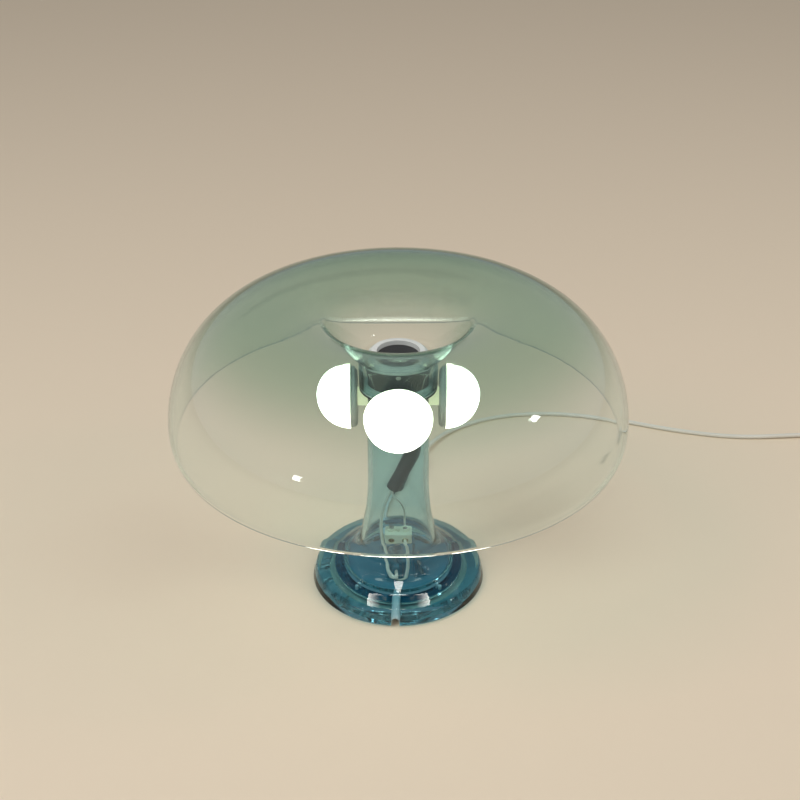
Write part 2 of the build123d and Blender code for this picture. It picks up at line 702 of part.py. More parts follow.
def shade_surface(depth, foot_fillet, lip_fillet):
    """One face of the shade's section from the collar to the rim, depth inside the upper face."""
    funnel = [
        (collar_radius, seat_height),
        (collar_radius, seat_height + seat_to_funnel),
        (lip_radius, lip_height),
        (crest_start, crest_start_height),
    ]
    if depth > 0:
        funnel = offset_corners(funnel, -depth)
    centre = (crest_radius, crest_height - crest_bend)
    crest = ThreePointArc(
        (funnel[-1][0], 0, funnel[-1][1]),
        arc_point(centre, crest_bend - depth, lip_slope / 2),
        arc_point(centre, crest_bend - depth, 0),
    )
    dome = Plane.XZ * EllipticalCenterArc(
        (crest_radius, crest_height - dome_drop), dome_width - depth, dome_drop - depth,
        start_angle=0, arc_size=90)
    widest = (crest_radius + dome_width - depth, 0, widest_height)
    rim = TangentArc(widest, (rim_radius - depth, 0, rim_height), tangent=(0, 0, -1))
    return [*rounded_line(funnel, [foot_fillet, lip_fillet]), crest, dome, rim]


rim_round = ThreePointArc(
    (rim_radius, 0, rim_height),
    (rim_radius - shade_wall / 2, 0, rim_height - shade_wall / 2),
    (rim_radius - shade_wall, 0, rim_height),
)
foot_fillet = 15.0
lip_fillet = 20.0
shade = turned([
    *shade_surface(0, foot_fillet, lip_fillet),
    rim_round,
    *shade_surface(shade_wall, foot_fillet - shade_wall, lip_fillet - shade_wall),
    edge((collar_radius, seat_height), (collar_radius + shade_wall, seat_height)),
])
save("shade", shade)

# ---------------------------------------------------------------- cord inside the foot and up to the switch
# It leaves the relief, drops through the foot's back notch and lies on the table behind the lamp.
switch_axis_height = 4.6
table_height = cord_diameter / 2 + 0.05
inner_run = 14.0
inner_start = (*relief_back, relief_axis_height)
inner_points = [
    inner_start,
    along(relief_back, relief_angle, inner_run, relief_axis_height),
    (-11.2, 38.0, 5.9),
    (-13.4, 51.5, 3.6),
    (-14.6, 65.5, table_height),
    (-14.6, 80.0, table_height + 1.0),
    (-12.8, 91.6, switch_axis_height),
    (-8.0, 102.0, switch_axis_height),
]
inner_cord, inner_length = lead_run("cord_inner", inner_points, cord_diameter)
save("cord_inner", inner_cord)

# ---------------------------------------------------------------- in-line switch
# A dark two-part housing, built along +X about its middle and then turned to the cord's heading.
switch_heading = heading_of(inner_points[-2], inner_points[-1])
relief_wide = 2.9
relief_narrow = 2.2
relief_out = relief_length - relief_seat
switch_reach = switch_length / 2 + relief_out
switch_middle = along(inner_points[-1], switch_heading, switch_reach, 0)
housing_corner = 6.0
housing_inside = (switch_length - 2 * switch_wall, switch_width - 2 * switch_wall)


def housing_slab(length, width, low, high, corner):
    slab = block((length, width, high - low), (0, 0, low))
    return fillet(slab.edges().filter_by(Axis.Z), corner)


def on_cord(shape):
    """Put a piece built along +X about the switch's middle in its place on the cord."""
    return Pos(switch_middle[0], switch_middle[1], 0) * outwards(shape, switch_heading)


relief_opening = rod_along_x(relief_wide + small_room, -switch_length, switch_length, switch_axis_height)
boss_place = 12.0
boss_radius = 2.4
switch_screw_radius = 1.0
switch_screw_head = 1.8
switch_screw_sink = 1.2
switch_boss_bore = Cylinder(switch_screw_radius + screw_room, 2 * (switch_height - switch_wall - 0.8))
switch_base = housing_slab(switch_length, switch_width, 0, switch_axis_height, housing_corner)
switch_base -= housing_slab(*housing_inside, switch_wall, switch_height, housing_corner - switch_wall)
switch_cover = housing_slab(switch_length, switch_width, switch_axis_height, switch_height, housing_corner)
switch_cover = fillet(switch_cover.faces().sort_by(Axis.Z)[-1].edges(), 2.2)
switch_cover -= housing_slab(*housing_inside, 0, switch_height - switch_wall, housing_corner - switch_wall)
switch_base -= relief_opening
switch_cover -= relief_opening
for side in (-1, 1):
    switch_base += Pos(side * boss_place, 0, 0) * ring(0, boss_radius, 0.5 * switch_wall, switch_axis_height)
    switch_cover += Pos(side * boss_place, 0, 0) * ring(
        0, boss_radius, switch_axis_height, switch_height - 0.5 * switch_wall)
for side in (-1, 1):
    switch_base -= Pos(side * boss_place, 0, 0) * switch_boss_bore
    switch_base -= Pos(side * boss_place, 0, 0) * Cylinder(switch_screw_head + 0.1, 2 * switch_screw_sink)
    switch_cover -= Pos(side * boss_place, 0, 0) * switch_boss_bore
pivot_height = 9.5
pivot_radius = 1.2
rocker_room = 0.5
ear_thickness = 1.3
window = block((rocker_length + 2 * rocker_room, rocker_width + 2 * rocker_room, switch_height),
               (0, 0, pivot_height))
ear_inside = rocker_width / 2 + rocker_room
for side in (-1, 1):
    ear_middle = side * (ear_inside + ear_thickness / 2)
    switch_cover += block((5, ear_thickness, switch_height - 0.5 * switch_wall - pivot_height + 2.6),
                          (0, ear_middle, pivot_height - 2.6))
switch_cover -= window
switch_cover -= Pos(0, 0, pivot_height) * Rot(90, 0, 0) * Cylinder(pivot_radius + 0.3, switch_width - 2)
save("switch_base", on_cord(switch_base))
save("switch_cover", on_cord(switch_cover))

switch_screw = Pos(0, 0, 0.15) * screw(switch_screw_radius, switch_screw_head, 1.0,
                                       switch_height - switch_wall - 2.2)
save("switch_screws", *[on_cord(Pos(side * boss_place, 0, 0) * switch_screw) for side in (-1, 1)])

# The rocker, a shallow roof over a pivot, with its two trunnions and the nose that moves the contact.
rocker_rise = 3.7            # pivot to the roof's ends
rocker_dip = 0.9             # the roof's middle lies this much lower
rocker_depth = 1.8           # pivot to the rocker's underside
rocker_outline = [
    (-rocker_length / 2, -rocker_depth),
    (rocker_length / 2, -rocker_depth),
    (rocker_length / 2, rocker_rise),
    (0, rocker_rise - rocker_dip),
    (-rocker_length / 2, rocker_rise),
]
rocker = extrude(Plane.XZ * Polygon(*rocker_outline, align=None), rocker_width / 2, both=True)
trunnion_length = rocker_width + 2 * (rocker_room + ear_thickness - 0.2)
rocker += Rot(90, 0, 0) * Cylinder(pivot_radius, trunnion_length)
rocker += block((2.0, 3.0, 2.2), (0, 0, -rocker_depth - 1.2))
save("rocker", on_cord(Pos(0, 0, pivot_height) * Rot(0, rocker_tilt, 0) * rocker))

contact_width = 2.0
contact_thickness = 0.8
contact_place = 3.9
contacts = []
for side in (-1, 1):
    strip = block((12.0, contact_width, contact_thickness), (side * 8.6, contact_place, switch_wall))
    strip += block((contact_thickness, contact_width, 2.2), (side * 3.0, contact_place, switch_wall))
    contacts.append(on_cord(strip))
save("switch_contacts", *contacts)

switch_relief = Pos(switch_length / 2 - relief_seat, 0, switch_axis_height) * tapered_relief(
    relief_length, relief_wide, relief_narrow, 5)
save("switch_reliefs", on_cord(switch_relief), on_cord(Rot(0, 0, 180) * switch_relief))

# ---------------------------------------------------------------- cord from the switch to the coil
# A long shallow curve over the table to the right, then up onto the tie of the put-away coil.
coil_base = tie_thickness + 0.2
coil_low = coil_base + cord_diameter / 2
lead_start = along(switch_middle, switch_heading, switch_reach, switch_axis_height)
lead_points = [
    lead_start,
    along(lead_start, switch_heading, 22.0, switch_axis_height),
    (50.0, 211.0, table_height),
    (88.0, 232.5, table_height),
    (140.0, 236.0, table_height),
    (192.0, 224.0, table_height),
    (243.0, 204.0, table_height),
    (296.0, 192.0, table_height),
    (350.0, 195.0, coil_low),
    (390.0, 197.0, coil_low),
]
lead_cord, lead_length = lead_run("cord_lead", lead_points, cord_diameter)
save("cord_lead", lead_cord)

# ---------------------------------------------------------------- coil of the put-away length
# One unbroken spiral, clockwise, in and out again over four layers.
turns_per_layer = coil_turns / coil_layers
layer_angle = 2 * pi * turns_per_layer
coil_outer = coil_mean_radius + coil_pitch * turns_per_layer / 2
coil_heading = heading_of(lead_points[-2], lead_points[-1])
rate = coil_pitch / (2 * pi)
coil_start_angle = radians(coil_heading) + pi / 2 + atan2(rate, coil_outer)
coil_first = along(lead_points[-1], coil_heading, cord_diameter, coil_low)
coil_centre = (
    coil_first[0] - coil_outer * cos(coil_start_angle),
    coil_first[1] - coil_outer * sin(coil_start_angle),
)


def coil_point(turn):
    """The coil's centre line after this angle, and its direction there."""
    layer = min(int(turn / layer_angle), coil_layers - 1)
    within = turn - layer * layer_angle
    inwards = layer % 2 == 0
    radius = coil_outer - rate * within if inwards else coil_outer - rate * (layer_angle - within)
    radius_rate = -rate if inwards else rate
    height, height_rate = coil_low, 0.0
    for reversal in range(1, coil_layers):
        past = turn - reversal * layer_angle + pi / 2
        if past >= pi:
            height += coil_pitch
        elif past > 0:
            height += coil_pitch * (1 - cos(past)) / 2
            height_rate = coil_pitch * sin(past) / 2
    angle = coil_start_angle - turn
    place = Vector(coil_centre[0] + radius * cos(angle), coil_centre[1] + radius * sin(angle), height)
    direction = Vector(
        radius_rate * cos(angle) + radius * sin(angle),
        radius_rate * sin(angle) - radius * cos(angle),
        height_rate,
    )
    return place, direction.normalized()


def biarc(start, start_way, end, end_way):
    """Two arcs that leave start and reach end in the given directions, and meet smoothly."""
    chord = end - start
    ways = start_way + end_way
    closing = 2 * (1 - start_way.dot(end_way))
    reach = (sqrt(chord.dot(ways) ** 2 + 2 * closing * chord.dot(chord)) - chord.dot(ways)) / (2 * closing)
    before = start + start_way * reach
    after = end - end_way * reach
    joint = (before + after) * 0.5
    return [TangentArc(start, joint, tangent=start_way), TangentArc(joint, end, tangent=after - before)]


steps = round(4 * coil_turns)
coil_stations = [coil_point(2 * pi * coil_turns * i / steps) for i in range(steps + 1)]
coil_end, coil_end_way = coil_stations[-1]
coil_last = coil_end + coil_end_way * cord_diameter
coil_path = [Edge.make_line(Vector(*lead_points[-1]), coil_stations[0][0])]
for (start, start_way), (end, end_way) in zip(coil_stations, coil_stations[1:]):
    coil_path += [arc.edges()[0] for arc in biarc(start, start_way, end, end_way)]
coil_path.append(Edge.make_line(coil_end, coil_last))
coil_wire = Wire(coil_path)
coil, coil_length = tube(coil_wire, cord_diameter)
save("cord_coil", coil)

samples = [coil_wire.position_at(i / 1200) for i in range(1201)]
apart = ceil(1200 * 8 * cord_diameter / coil_length)
least = min(
    (a - b).length for i, a in enumerate(samples) for b in samples[i + apart:]
)
print(f"cord_coil: least gap to itself {least - cord_diameter:.2f}")

tie_room = 0.3
tie_angle = degrees(coil_start_angle) - 200
tie_inner = coil_outer - coil_pitch * turns_per_layer - cord_diameter / 2 - tie_room
tie_outer = coil_outer + cord_diameter / 2 + tie_room
tie_top = coil_low + (coil_layers - 1) * coil_pitch + cord_diameter / 2 + tie_room
tie_middle = (tie_inner + tie_outer) / 2
tie = block((tie_outer - tie_inner + 2 * tie_thickness, tie_width, tie_top + tie_thickness), (tie_middle, 0, 0))
tie = fillet(tie.edges().filter_by(Axis.Y), 2.4)
tie -= fillet(block((tie_outer - tie_inner, tie_width + 2, tie_top - tie_thickness),
                    (tie_middle, 0, tie_thickness)).edges().filter_by(Axis.Y), 1.6)
save("coil_tie", Pos(coil_centre[0], coil_centre[1], 0) * outwards(tie, tie_angle))

# ---------------------------------------------------------------- last stretch and the plug
plug_axis_height = plug_height / 2
tail_heading = heading_of((0, 0), (coil_end_way.X, coil_end_way.Y))
tail_start = (coil_last.X, coil_last.Y, coil_last.Z)
tail_points = [
    tail_start,
    along(tail_start, tail_heading, 13.0, coil_last.Z),
    along(tail_start, tail_heading + 3, 29.0, coil_last.Z - 2.6),
    along(tail_start, tail_heading + 6, 45.0, plug_axis_height + 0.6),
    along(tail_start, tail_heading + 9, 60.0, plug_axis_height),
    along(tail_start, tail_heading + 11.5, 73.0, plug_axis_height),
]
tail_cord, tail_length = lead_run("cord_tail", tail_points, cord_diameter)
save("cord_tail", tail_cord)

# A flat moulded plug, built along +X from the tip of its own relief, with two round pins.
plug_heading = heading_of(tail_points[-2], tail_points[-1])
plug_relief_length = 24.0
plug_relief_wide = 4.6
plug_relief_narrow = 2.5
plug_neck = 14.0
plug_outline = [
    (0, -plug_neck / 2),
    (0.35 * plug_length, -plug_width / 2),
    (plug_length, -plug_width / 2),
    (plug_length, plug_width / 2),
    (0.35 * plug_length, plug_width / 2),
    (0, plug_neck / 2),
]
plug = extrude(fillet(Polygon(*plug_outline, align=None).vertices(), 3.0), plug_height)
plug = fillet(plug.faces().filter_by(Axis.Z).edges(), 2.0)
plug_relief = Pos(0, 0, plug_axis_height) * Rot(0, 0, 180) * tapered_relief(
    plug_relief_length, plug_relief_wide, plug_relief_narrow, 6)
plug += plug_relief
plug_pin_root = 6.0
pin_blank = rod_along_x(plug_pin_radius, plug_length - plug_pin_root, plug_length + plug_pin_length,
                        plug_axis_height)
plug_pin = fillet(pin_blank.edges().sort_by(Axis.X)[-1], 1.2)
pin_bore = rod_along_x(plug_pin_radius + small_room, plug_length - plug_pin_root, plug_length + 2,
                       plug_axis_height)
plug_pins = []
for side in (-1, 1):
    plug -= Pos(0, side * plug_pin_spread / 2, 0) * pin_bore
    plug_pins.append(Pos(0, side * plug_pin_spread / 2, 0) * plug_pin)
plug_place = along(tail_points[-1], plug_heading, plug_relief_length, 0)


def on_tail(shape):
    return Pos(*plug_place) * outwards(shape, plug_heading)


save("plug", on_tail(plug))
save("plug_pins", *[on_tail(pin) for pin in plug_pins])
whole_cord = inner_length + 2 * switch_reach + lead_length + coil_length + tail_length
print(f"whole cord with its switch {whole_cord:.0f}")
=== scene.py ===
from math import atan2, cos, degrees, pi, radians, sin, tan

import bmesh
import bpy
from mathutils import Matrix, Vector


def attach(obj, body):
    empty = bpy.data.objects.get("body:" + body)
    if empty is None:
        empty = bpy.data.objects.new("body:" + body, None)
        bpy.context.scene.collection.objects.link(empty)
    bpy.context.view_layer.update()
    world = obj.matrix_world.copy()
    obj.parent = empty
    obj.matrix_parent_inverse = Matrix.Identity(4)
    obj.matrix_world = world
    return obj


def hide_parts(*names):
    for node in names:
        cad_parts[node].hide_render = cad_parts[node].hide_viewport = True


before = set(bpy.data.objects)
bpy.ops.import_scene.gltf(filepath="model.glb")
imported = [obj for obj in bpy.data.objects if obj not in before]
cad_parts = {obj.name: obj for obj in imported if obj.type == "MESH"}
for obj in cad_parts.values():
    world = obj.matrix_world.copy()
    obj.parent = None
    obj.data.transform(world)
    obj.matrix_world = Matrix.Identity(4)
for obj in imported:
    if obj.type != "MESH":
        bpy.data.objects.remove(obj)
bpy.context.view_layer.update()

# ---------------------------------------------------------------- camera
# The view of the photograph: from the front, from above the shade, looking down at the lamp. Its
# distance, height, tilt and focal length were fitted to the rim, the crest, the bulbs and the foot.
photo_width = 800            # pixels
photo_focal = 1379.0         # focal length, in the photograph's pixels
axis_column = 398.3          # the lamp's axis stands in this column of it
camera_distance = 0.835      # in front of the lamp's axis
camera_height = 0.634
camera_pitch = radians(30.05)
camera_data = bpy.data.cameras.new("camera")
camera_data.sensor_width = 36.0
camera_data.lens = photo_focal / photo_width * camera_data.sensor_width
camera_data.shift_x = (photo_width / 2 - axis_column) / photo_width
camera = bpy.data.objects.new("camera", camera_data)
camera.location = (0, -camera_distance, camera_height)
camera.rotation_euler = (pi / 2 - camera_pitch, 0, 0)
bpy.context.scene.collection.objects.link(camera)
bpy.context.scene.camera = camera
bpy.context.scene.view_settings.view_transform = "Standard"


# ---------------------------------------------------------------- cord inside the foot
# Round two-core lamp cord in a cream PVC sheath. It leaves the moulded relief in the foot, runs
# through the back notch under the rim and lies flat behind the lamp as far as the switch.
def group_socket(tree, name, kind, value=None, outgoing=False):
    """A named input or output of a node group."""
    side = "OUTPUT" if outgoing else "INPUT"
    socket = tree.interface.new_socket(name, in_out=side, socket_type=kind)
    if value is not None:
        socket.default_value = value
    return socket


def wire(tree, *pairs):
    """Links (from node, its output, to node, its input) in a node tree."""
    for source, output, target, entry in pairs:
        tree.links.new(source.outputs[output], target.inputs[entry])


def handling_marks():
    """Shader group: the soft unevenness and faint dust that any moulded or painted skin shows."""
    tree = bpy.data.node_groups.new("handling_marks", "ShaderNodeTree")
    group_socket(tree, "Grain Scale", "NodeSocketFloat", 900.0)
    group_socket(tree, "Patch Scale", "NodeSocketFloat", 35.0)
    group_socket(tree, "Roughness Low", "NodeSocketFloat", 0.3)
    group_socket(tree, "Roughness High", "NodeSocketFloat", 0.45)
    group_socket(tree, "Roughness", "NodeSocketFloat", outgoing=True)
    group_socket(tree, "Patches", "NodeSocketFloat", outgoing=True)
    group_socket(tree, "Grain", "NodeSocketFloat", outgoing=True)
    nodes = tree.nodes
    entry = nodes.new("NodeGroupInput")
    leave = nodes.new("NodeGroupOutput")
    place = nodes.new("ShaderNodeTexCoord")
    grain = nodes.new("ShaderNodeTexNoise")
    grain.inputs["Detail"].default_value = 3.0
    patches = nodes.new("ShaderNodeTexNoise")
    patches.inputs["Detail"].default_value = 5.0
    patches.inputs["Roughness"].default_value = 0.62
    spread = nodes.new("ShaderNodeMapRange")
    spread.inputs["From Min"].default_value = 0.35
    spread.inputs["From Max"].default_value = 0.68
    wire(
        tree,
        (place, "Object", grain, "Vector"),
        (place, "Object", patches, "Vector"),
        (entry, "Grain Scale", grain, "Scale"),
        (entry, "Patch Scale", patches, "Scale"),
        (patches, "Fac", spread, "Value"),
        (entry, "Roughness Low", spread, "To Min"),
        (entry, "Roughness High", spread, "To Max"),
        (spread, "Result", leave, "Roughness"),
        (patches, "Fac", leave, "Patches"),
        (grain, "Fac", leave, "Grain"),
    )
    return tree


marks_tree = handling_marks()


def skin(name, colour, worn_colour, roughness, grain_scale, bump, metallic=0.0, patch_scale=35.0):
    """An opaque material: two close tones in soft patches, uneven gloss and a fine grain."""
    material = bpy.data.materials.new(name)
    material.use_nodes = True
    tree = material.node_tree
    shader = tree.nodes["Principled BSDF"]
    shader.inputs["Metallic"].default_value = metallic
    marks = tree.nodes.new("ShaderNodeGroup")
    marks.node_tree = marks_tree
    marks.inputs["Grain Scale"].default_value = grain_scale
    marks.inputs["Patch Scale"].default_value = patch_scale
    marks.inputs["Roughness Low"].default_value = roughness[0]
    marks.inputs["Roughness High"].default_value = roughness[1]
    tones = tree.nodes.new("ShaderNodeMix")
    tones.data_type = "RGBA"
    tones.inputs["A"].default_value = (*colour, 1)
    tones.inputs["B"].default_value = (*worn_colour, 1)
    relief = tree.nodes.new("ShaderNodeBump")
    relief.inputs["Strength"].default_value = bump
    relief.inputs["Distance"].default_value = 0.0004
    wire(
        tree,
        (marks, "Patches", tones, "Factor"),
        (tones, "Result", shader, "Base Color"),
        (marks, "Roughness", shader, "Roughness"),
        (marks, "Grain", relief, "Height"),
        (relief, "Normal", shader, "Normal"),
    )
    return material


def smooth_cord(name, points, diameter, material, body="root"):
    """A round cord along a smooth NURBS line with these control points, in metres."""
    curve = bpy.data.curves.new(name, "CURVE")
    curve.dimensions = "3D"
    curve.bevel_depth = diameter / 2
    curve.bevel_resolution = 5
    curve.resolution_u = 10
    curve.use_fill_caps = True
    spline = curve.splines.new("NURBS")
    spline.points.add(len(points) - 1)
    for knot, point in zip(spline.points, points):
        knot.co = (*point, 1)
    spline.order_u = 3
    spline.use_endpoint_u = True
    curve.materials.append(material)
    piece = bpy.data.objects.new(name, curve)
    bpy.context.scene.collection.objects.link(piece)
    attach(piece, body)
    return piece


def along(start, heading, distance, height):
    """The point this far from start at this heading, in radians from +X."""
    return (start[0] + distance * cos(heading), start[1] + distance * sin(heading), height)


def heading_of(a, b):
    """The heading from a to b, in radians from +X."""
    return atan2(b[1] - a[1], b[0] - a[0])


cord_diameter = 0.0036
cord_sheath = skin(
    "cord_sheath", (0.74, 0.72, 0.65), (0.66, 0.64, 0.58),
    roughness=(0.34, 0.5), grain_scale=2600, bump=0.12)
relief_front = (-0.0016, -0.0090)
relief_tip = (-0.0052, 0.0106)
relief_height = 0.0071
relief_heading = heading_of(relief_front, relief_tip)
switch_cord_height = 0.0046
lying_height = cord_diameter / 2 + 0.00005
inner_points = [
    (*relief_tip, relief_height),
    along(relief_tip, relief_heading, 0.014, relief_height),
    (-0.0112, 0.0380, 0.0059),
    (-0.0134, 0.0515, 0.0036),
    (-0.0146, 0.0655, lying_height),
    (-0.0146, 0.0800, lying_height + 0.0010),
    (-0.0128, 0.0916, switch_cord_height),
    (-0.0080, 0.1020, switch_cord_height),
]
inner_cord = smooth_cord("inner_cord", inner_points, cord_diameter, cord_sheath)
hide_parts("cord_inner")

# ---------------------------------------------------------------- cord from the switch to the plug
# The same cord. It lies in a long shallow curve to the right, is wound into a neat tied coil of
# four layers for the length that is put away, and comes down off the coil to the plug.
switch_reach = 0.035
switch_heading = heading_of(inner_points[-2], inner_points[-1])
switch_middle = along(inner_points[-1], switch_heading, switch_reach, 0)
lead_start = along(switch_middle, switch_heading, switch_reach, switch_cord_height)
coil_low = 0.0028
lead_points = [
    lead_start,
    along(lead_start, switch_heading, 0.022, switch_cord_height),
    (0.050, 0.2110, lying_height),
    (0.088, 0.2325, lying_height),
    (0.140, 0.2360, lying_height),
    (0.192, 0.2240, lying_height),
    (0.243, 0.2040, lying_height),
    (0.296, 0.1920, lying_height),
    (0.350, 0.1950, coil_low),
    (0.390, 0.1970, coil_low),
]
coil_pitch = 0.0042
coil_turns = 9.25
coil_layers = 4
coil_mean_radius = 0.0198
points_per_turn = 16
layer_angle = 2 * pi * coil_turns / coil_layers
coil_rate = coil_pitch / (2 * pi)
coil_outer = coil_mean_radius + coil_rate * layer_angle / 2
coil_heading = heading_of(lead_points[-2], lead_points[-1])
coil_start_angle = coil_heading + pi / 2 + atan2(coil_rate, coil_outer)
coil_first = along(lead_points[-1], coil_heading, cord_diameter, coil_low)
coil_centre = (
    coil_first[0] - coil_outer * cos(coil_start_angle),
    coil_first[1] - coil_outer * sin(coil_start_angle),
)
line_cut = 0.75 + 0.25 * cos(2 * pi / points_per_turn)    # the smooth line runs this much inside


def coil_point(turn, cut=line_cut):
    """A control point of the coil: in and out again, one layer higher after each reversal."""
    layer = min(int(turn / layer_angle), coil_layers - 1)
    within = turn - layer * layer_angle
    travelled = within if layer % 2 == 0 else layer_angle - within
    radius = (coil_outer - coil_rate * travelled) / cut
    height = coil_low
    for reversal in range(1, coil_layers):
        past = min(max(turn - reversal * layer_angle + pi / 2, 0), pi)
        height += coil_pitch * (1 - cos(past)) / 2
    angle = coil_start_angle - turn
    return (coil_centre[0] + radius * cos(angle), coil_centre[1] + radius * sin(angle), height)


coil_steps = round(points_per_turn * coil_turns)
coil_angles = [2 * pi * coil_turns * i / coil_steps for i in range(coil_steps + 1)]
coil_points = [coil_first, *[coil_point(turn) for turn in coil_angles[1:-1]]]
coil_end = coil_point(coil_angles[-1], 1)
end_angle = coil_start_angle - coil_angles[-1]
tail_heading = end_angle - pi / 2 + atan2(coil_rate, coil_outer)
tail_start = along(coil_end, tail_heading, cord_diameter, coil_end[2])
plug_cord_height = 0.007
tail_points = [
    coil_end,
    tail_start,
    along(tail_start, tail_heading, 0.013, tail_start[2]),
    along(tail_start, tail_heading + radians(3), 0.029, tail_start[2] - 0.0026),
    along(tail_start, tail_heading + radians(6), 0.045, plug_cord_height + 0.0006),
    along(tail_start, tail_heading + radians(9), 0.060, plug_cord_height),
    along(tail_start, tail_heading + radians(11.5), 0.073, plug_cord_height),
]
plug_heading = heading_of(tail_points[-2], tail_points[-1])
tail_points.append(along(tail_points[-1], plug_heading, 0.012, plug_cord_height))    # in the plug
outer_points = lead_points + coil_points + tail_points
outer_cord = smooth_cord("outer_cord", outer_points, cord_diameter, cord_sheath)
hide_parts("cord_lead", "cord_coil", "cord_tail")


def fitted(node, material, body="root", edge=0.0):
    """A finished copy of a CAD piece: welded, smooth where it is round, its edges just broken."""
    crease = radians(32)
    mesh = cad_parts[node].data.copy()
    mesh.name = node + "_finished"
    work = bmesh.new()
    work.from_mesh(mesh)
    bmesh.ops.remove_doubles(work, verts=work.verts, dist=2e-6)
    bmesh.ops.dissolve_limit(work, angle_limit=radians(0.4), verts=work.verts, edges=work.edges)
    work.to_mesh(mesh)
    work.free()
    mesh.materials.clear()
    mesh.materials.append(material)
    mesh.shade_smooth()
    mesh.set_sharp_from_angle(angle=crease)
    piece = bpy.data.objects.new(node + "_finished", mesh)
    bpy.context.scene.collection.objects.link(piece)
    if edge > 0:
        bevel = piece.modifiers.new("broken_edges", "BEVEL")
        bevel.width = edge
        bevel.segments = 2
        bevel.limit_method = "ANGLE"
        bevel.angle_limit = crease
        bevel.harden_normals = True
    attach(piece, body)
    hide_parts(node)
    return piece


switch_black = skin(
    "switch_black", (0.028, 0.03, 0.036), (0.05, 0.052, 0.06),
    roughness=(0.28, 0.42), grain_scale=3200, bump=0.3)
bright_brass = skin(
    "bright_brass", (0.80, 0.60, 0.30), (0.66, 0.47, 0.22),
    roughness=(0.18, 0.34), grain_scale=4000, bump=0.08, metallic=1.0)
zinc_steel = skin(
    "zinc_steel", (0.62, 0.62, 0.60), (0.50, 0.50, 0.49),
    roughness=(0.22, 0.4), grain_scale=4200, bump=0.1, metallic=1.0)
switch_pieces = [
    fitted("switch_base", switch_black, edge=0.0003),
    fitted("switch_cover", switch_black, edge=0.0003),
    fitted("rocker", switch_black, "rocker", edge=0.00025),
    fitted("switch_reliefs", switch_black, edge=0.00015),
    fitted("switch_screws", zinc_steel),
    fitted("switch_contacts", bright_brass),
]

# ---------------------------------------------------------------- plug
# Flat two-pin plug moulded in one with its ribbed relief, in the switch's black, with two plated
# round pins. A thin strap of the same black ties the coil.
plated = skin(
    "plated", (0.78, 0.77, 0.74), (0.66, 0.64, 0.6),
    roughness=(0.12, 0.26), grain_scale=5200, bump=0.05, metallic=1.0)
plug_pieces = [
    fitted("plug", switch_black, edge=0.0003),
    fitted("plug_pins", plated),
    fitted("coil_tie", switch_black, edge=0.0002),
]

# ---------------------------------------------------------------- floor, studio light
# A plain pale floor to stand on and broad soft lamps, so that the clear shade shows its own tint.
# Two small lamps, one on each side, leave the glints on it.
def stage_material(name, colour):
    """A matt, even material."""
    material = bpy.data.materials.new(name)
    material.use_nodes = True
    shader = material.node_tree.nodes["Principled BSDF"]
    shader.inputs["Base Color"].default_value = (*colour, 1)
    shader.inputs["Roughness"].default_value = 0.85
    shader.inputs["Specular IOR Level"].default_value = 0.1
    return material


floor_reach = 12.0
floor_corners = [
    (a * floor_reach, b * floor_reach, 0) for a, b in ((-1, -1), (1, -1), (1, 1), (-1, 1))]
floor_mesh = bpy.data.meshes.new("floor")
floor_mesh.from_pydata(floor_corners, [], [(0, 1, 2, 3)])
floor_mesh.materials.append(stage_material("floor", (0.79, 0.68, 0.54)))
floor = bpy.data.objects.new("floor", floor_mesh)
bpy.context.scene.collection.objects.link(floor)

studio_white = (1.0, 0.98, 0.95)
world = bpy.data.worlds.new("studio")
world.use_nodes = True
world.node_tree.nodes["Background"].inputs["Color"].default_value = (*studio_white, 1)
world.node_tree.nodes["Background"].inputs["Strength"].default_value = 0.36
bpy.context.scene.world = world


def soft_lamp(name, place, aim, size, power, mirrored=True):
    """A square soft box that points at aim. One that isn't mirrored leaves no highlight."""
    lamp_data = bpy.data.lights.new(name, "AREA")
    lamp_data.size = size
    lamp_data.energy = power
    lamp_data.color = studio_white
    lamp = bpy.data.objects.new(name, lamp_data)
    lamp.location = place
    lamp.rotation_euler = (Vector(aim) - Vector(place)).to_track_quat("-Z", "Y").to_euler()
    lamp.visible_glossy = mirrored
    lamp.visible_transmission = mirrored
    bpy.context.scene.collection.objects.link(lamp)


stem_middle = (0, 0, 0.1)
soft_lamp("key", (-1.1, -0.7, 1.7), stem_middle, size=1.0, power=19, mirrored=False)
soft_lamp("fill", (1.4, -0.3, 1.3), stem_middle, size=0.9, power=8, mirrored=False)
soft_lamp("glint_right", (1.5, -0.2, 1.25), stem_middle, size=0.14, power=1.5)
soft_lamp("glint_left", (-1.4, -1.35, 0.5), stem_middle, size=0.12, power=1.0)


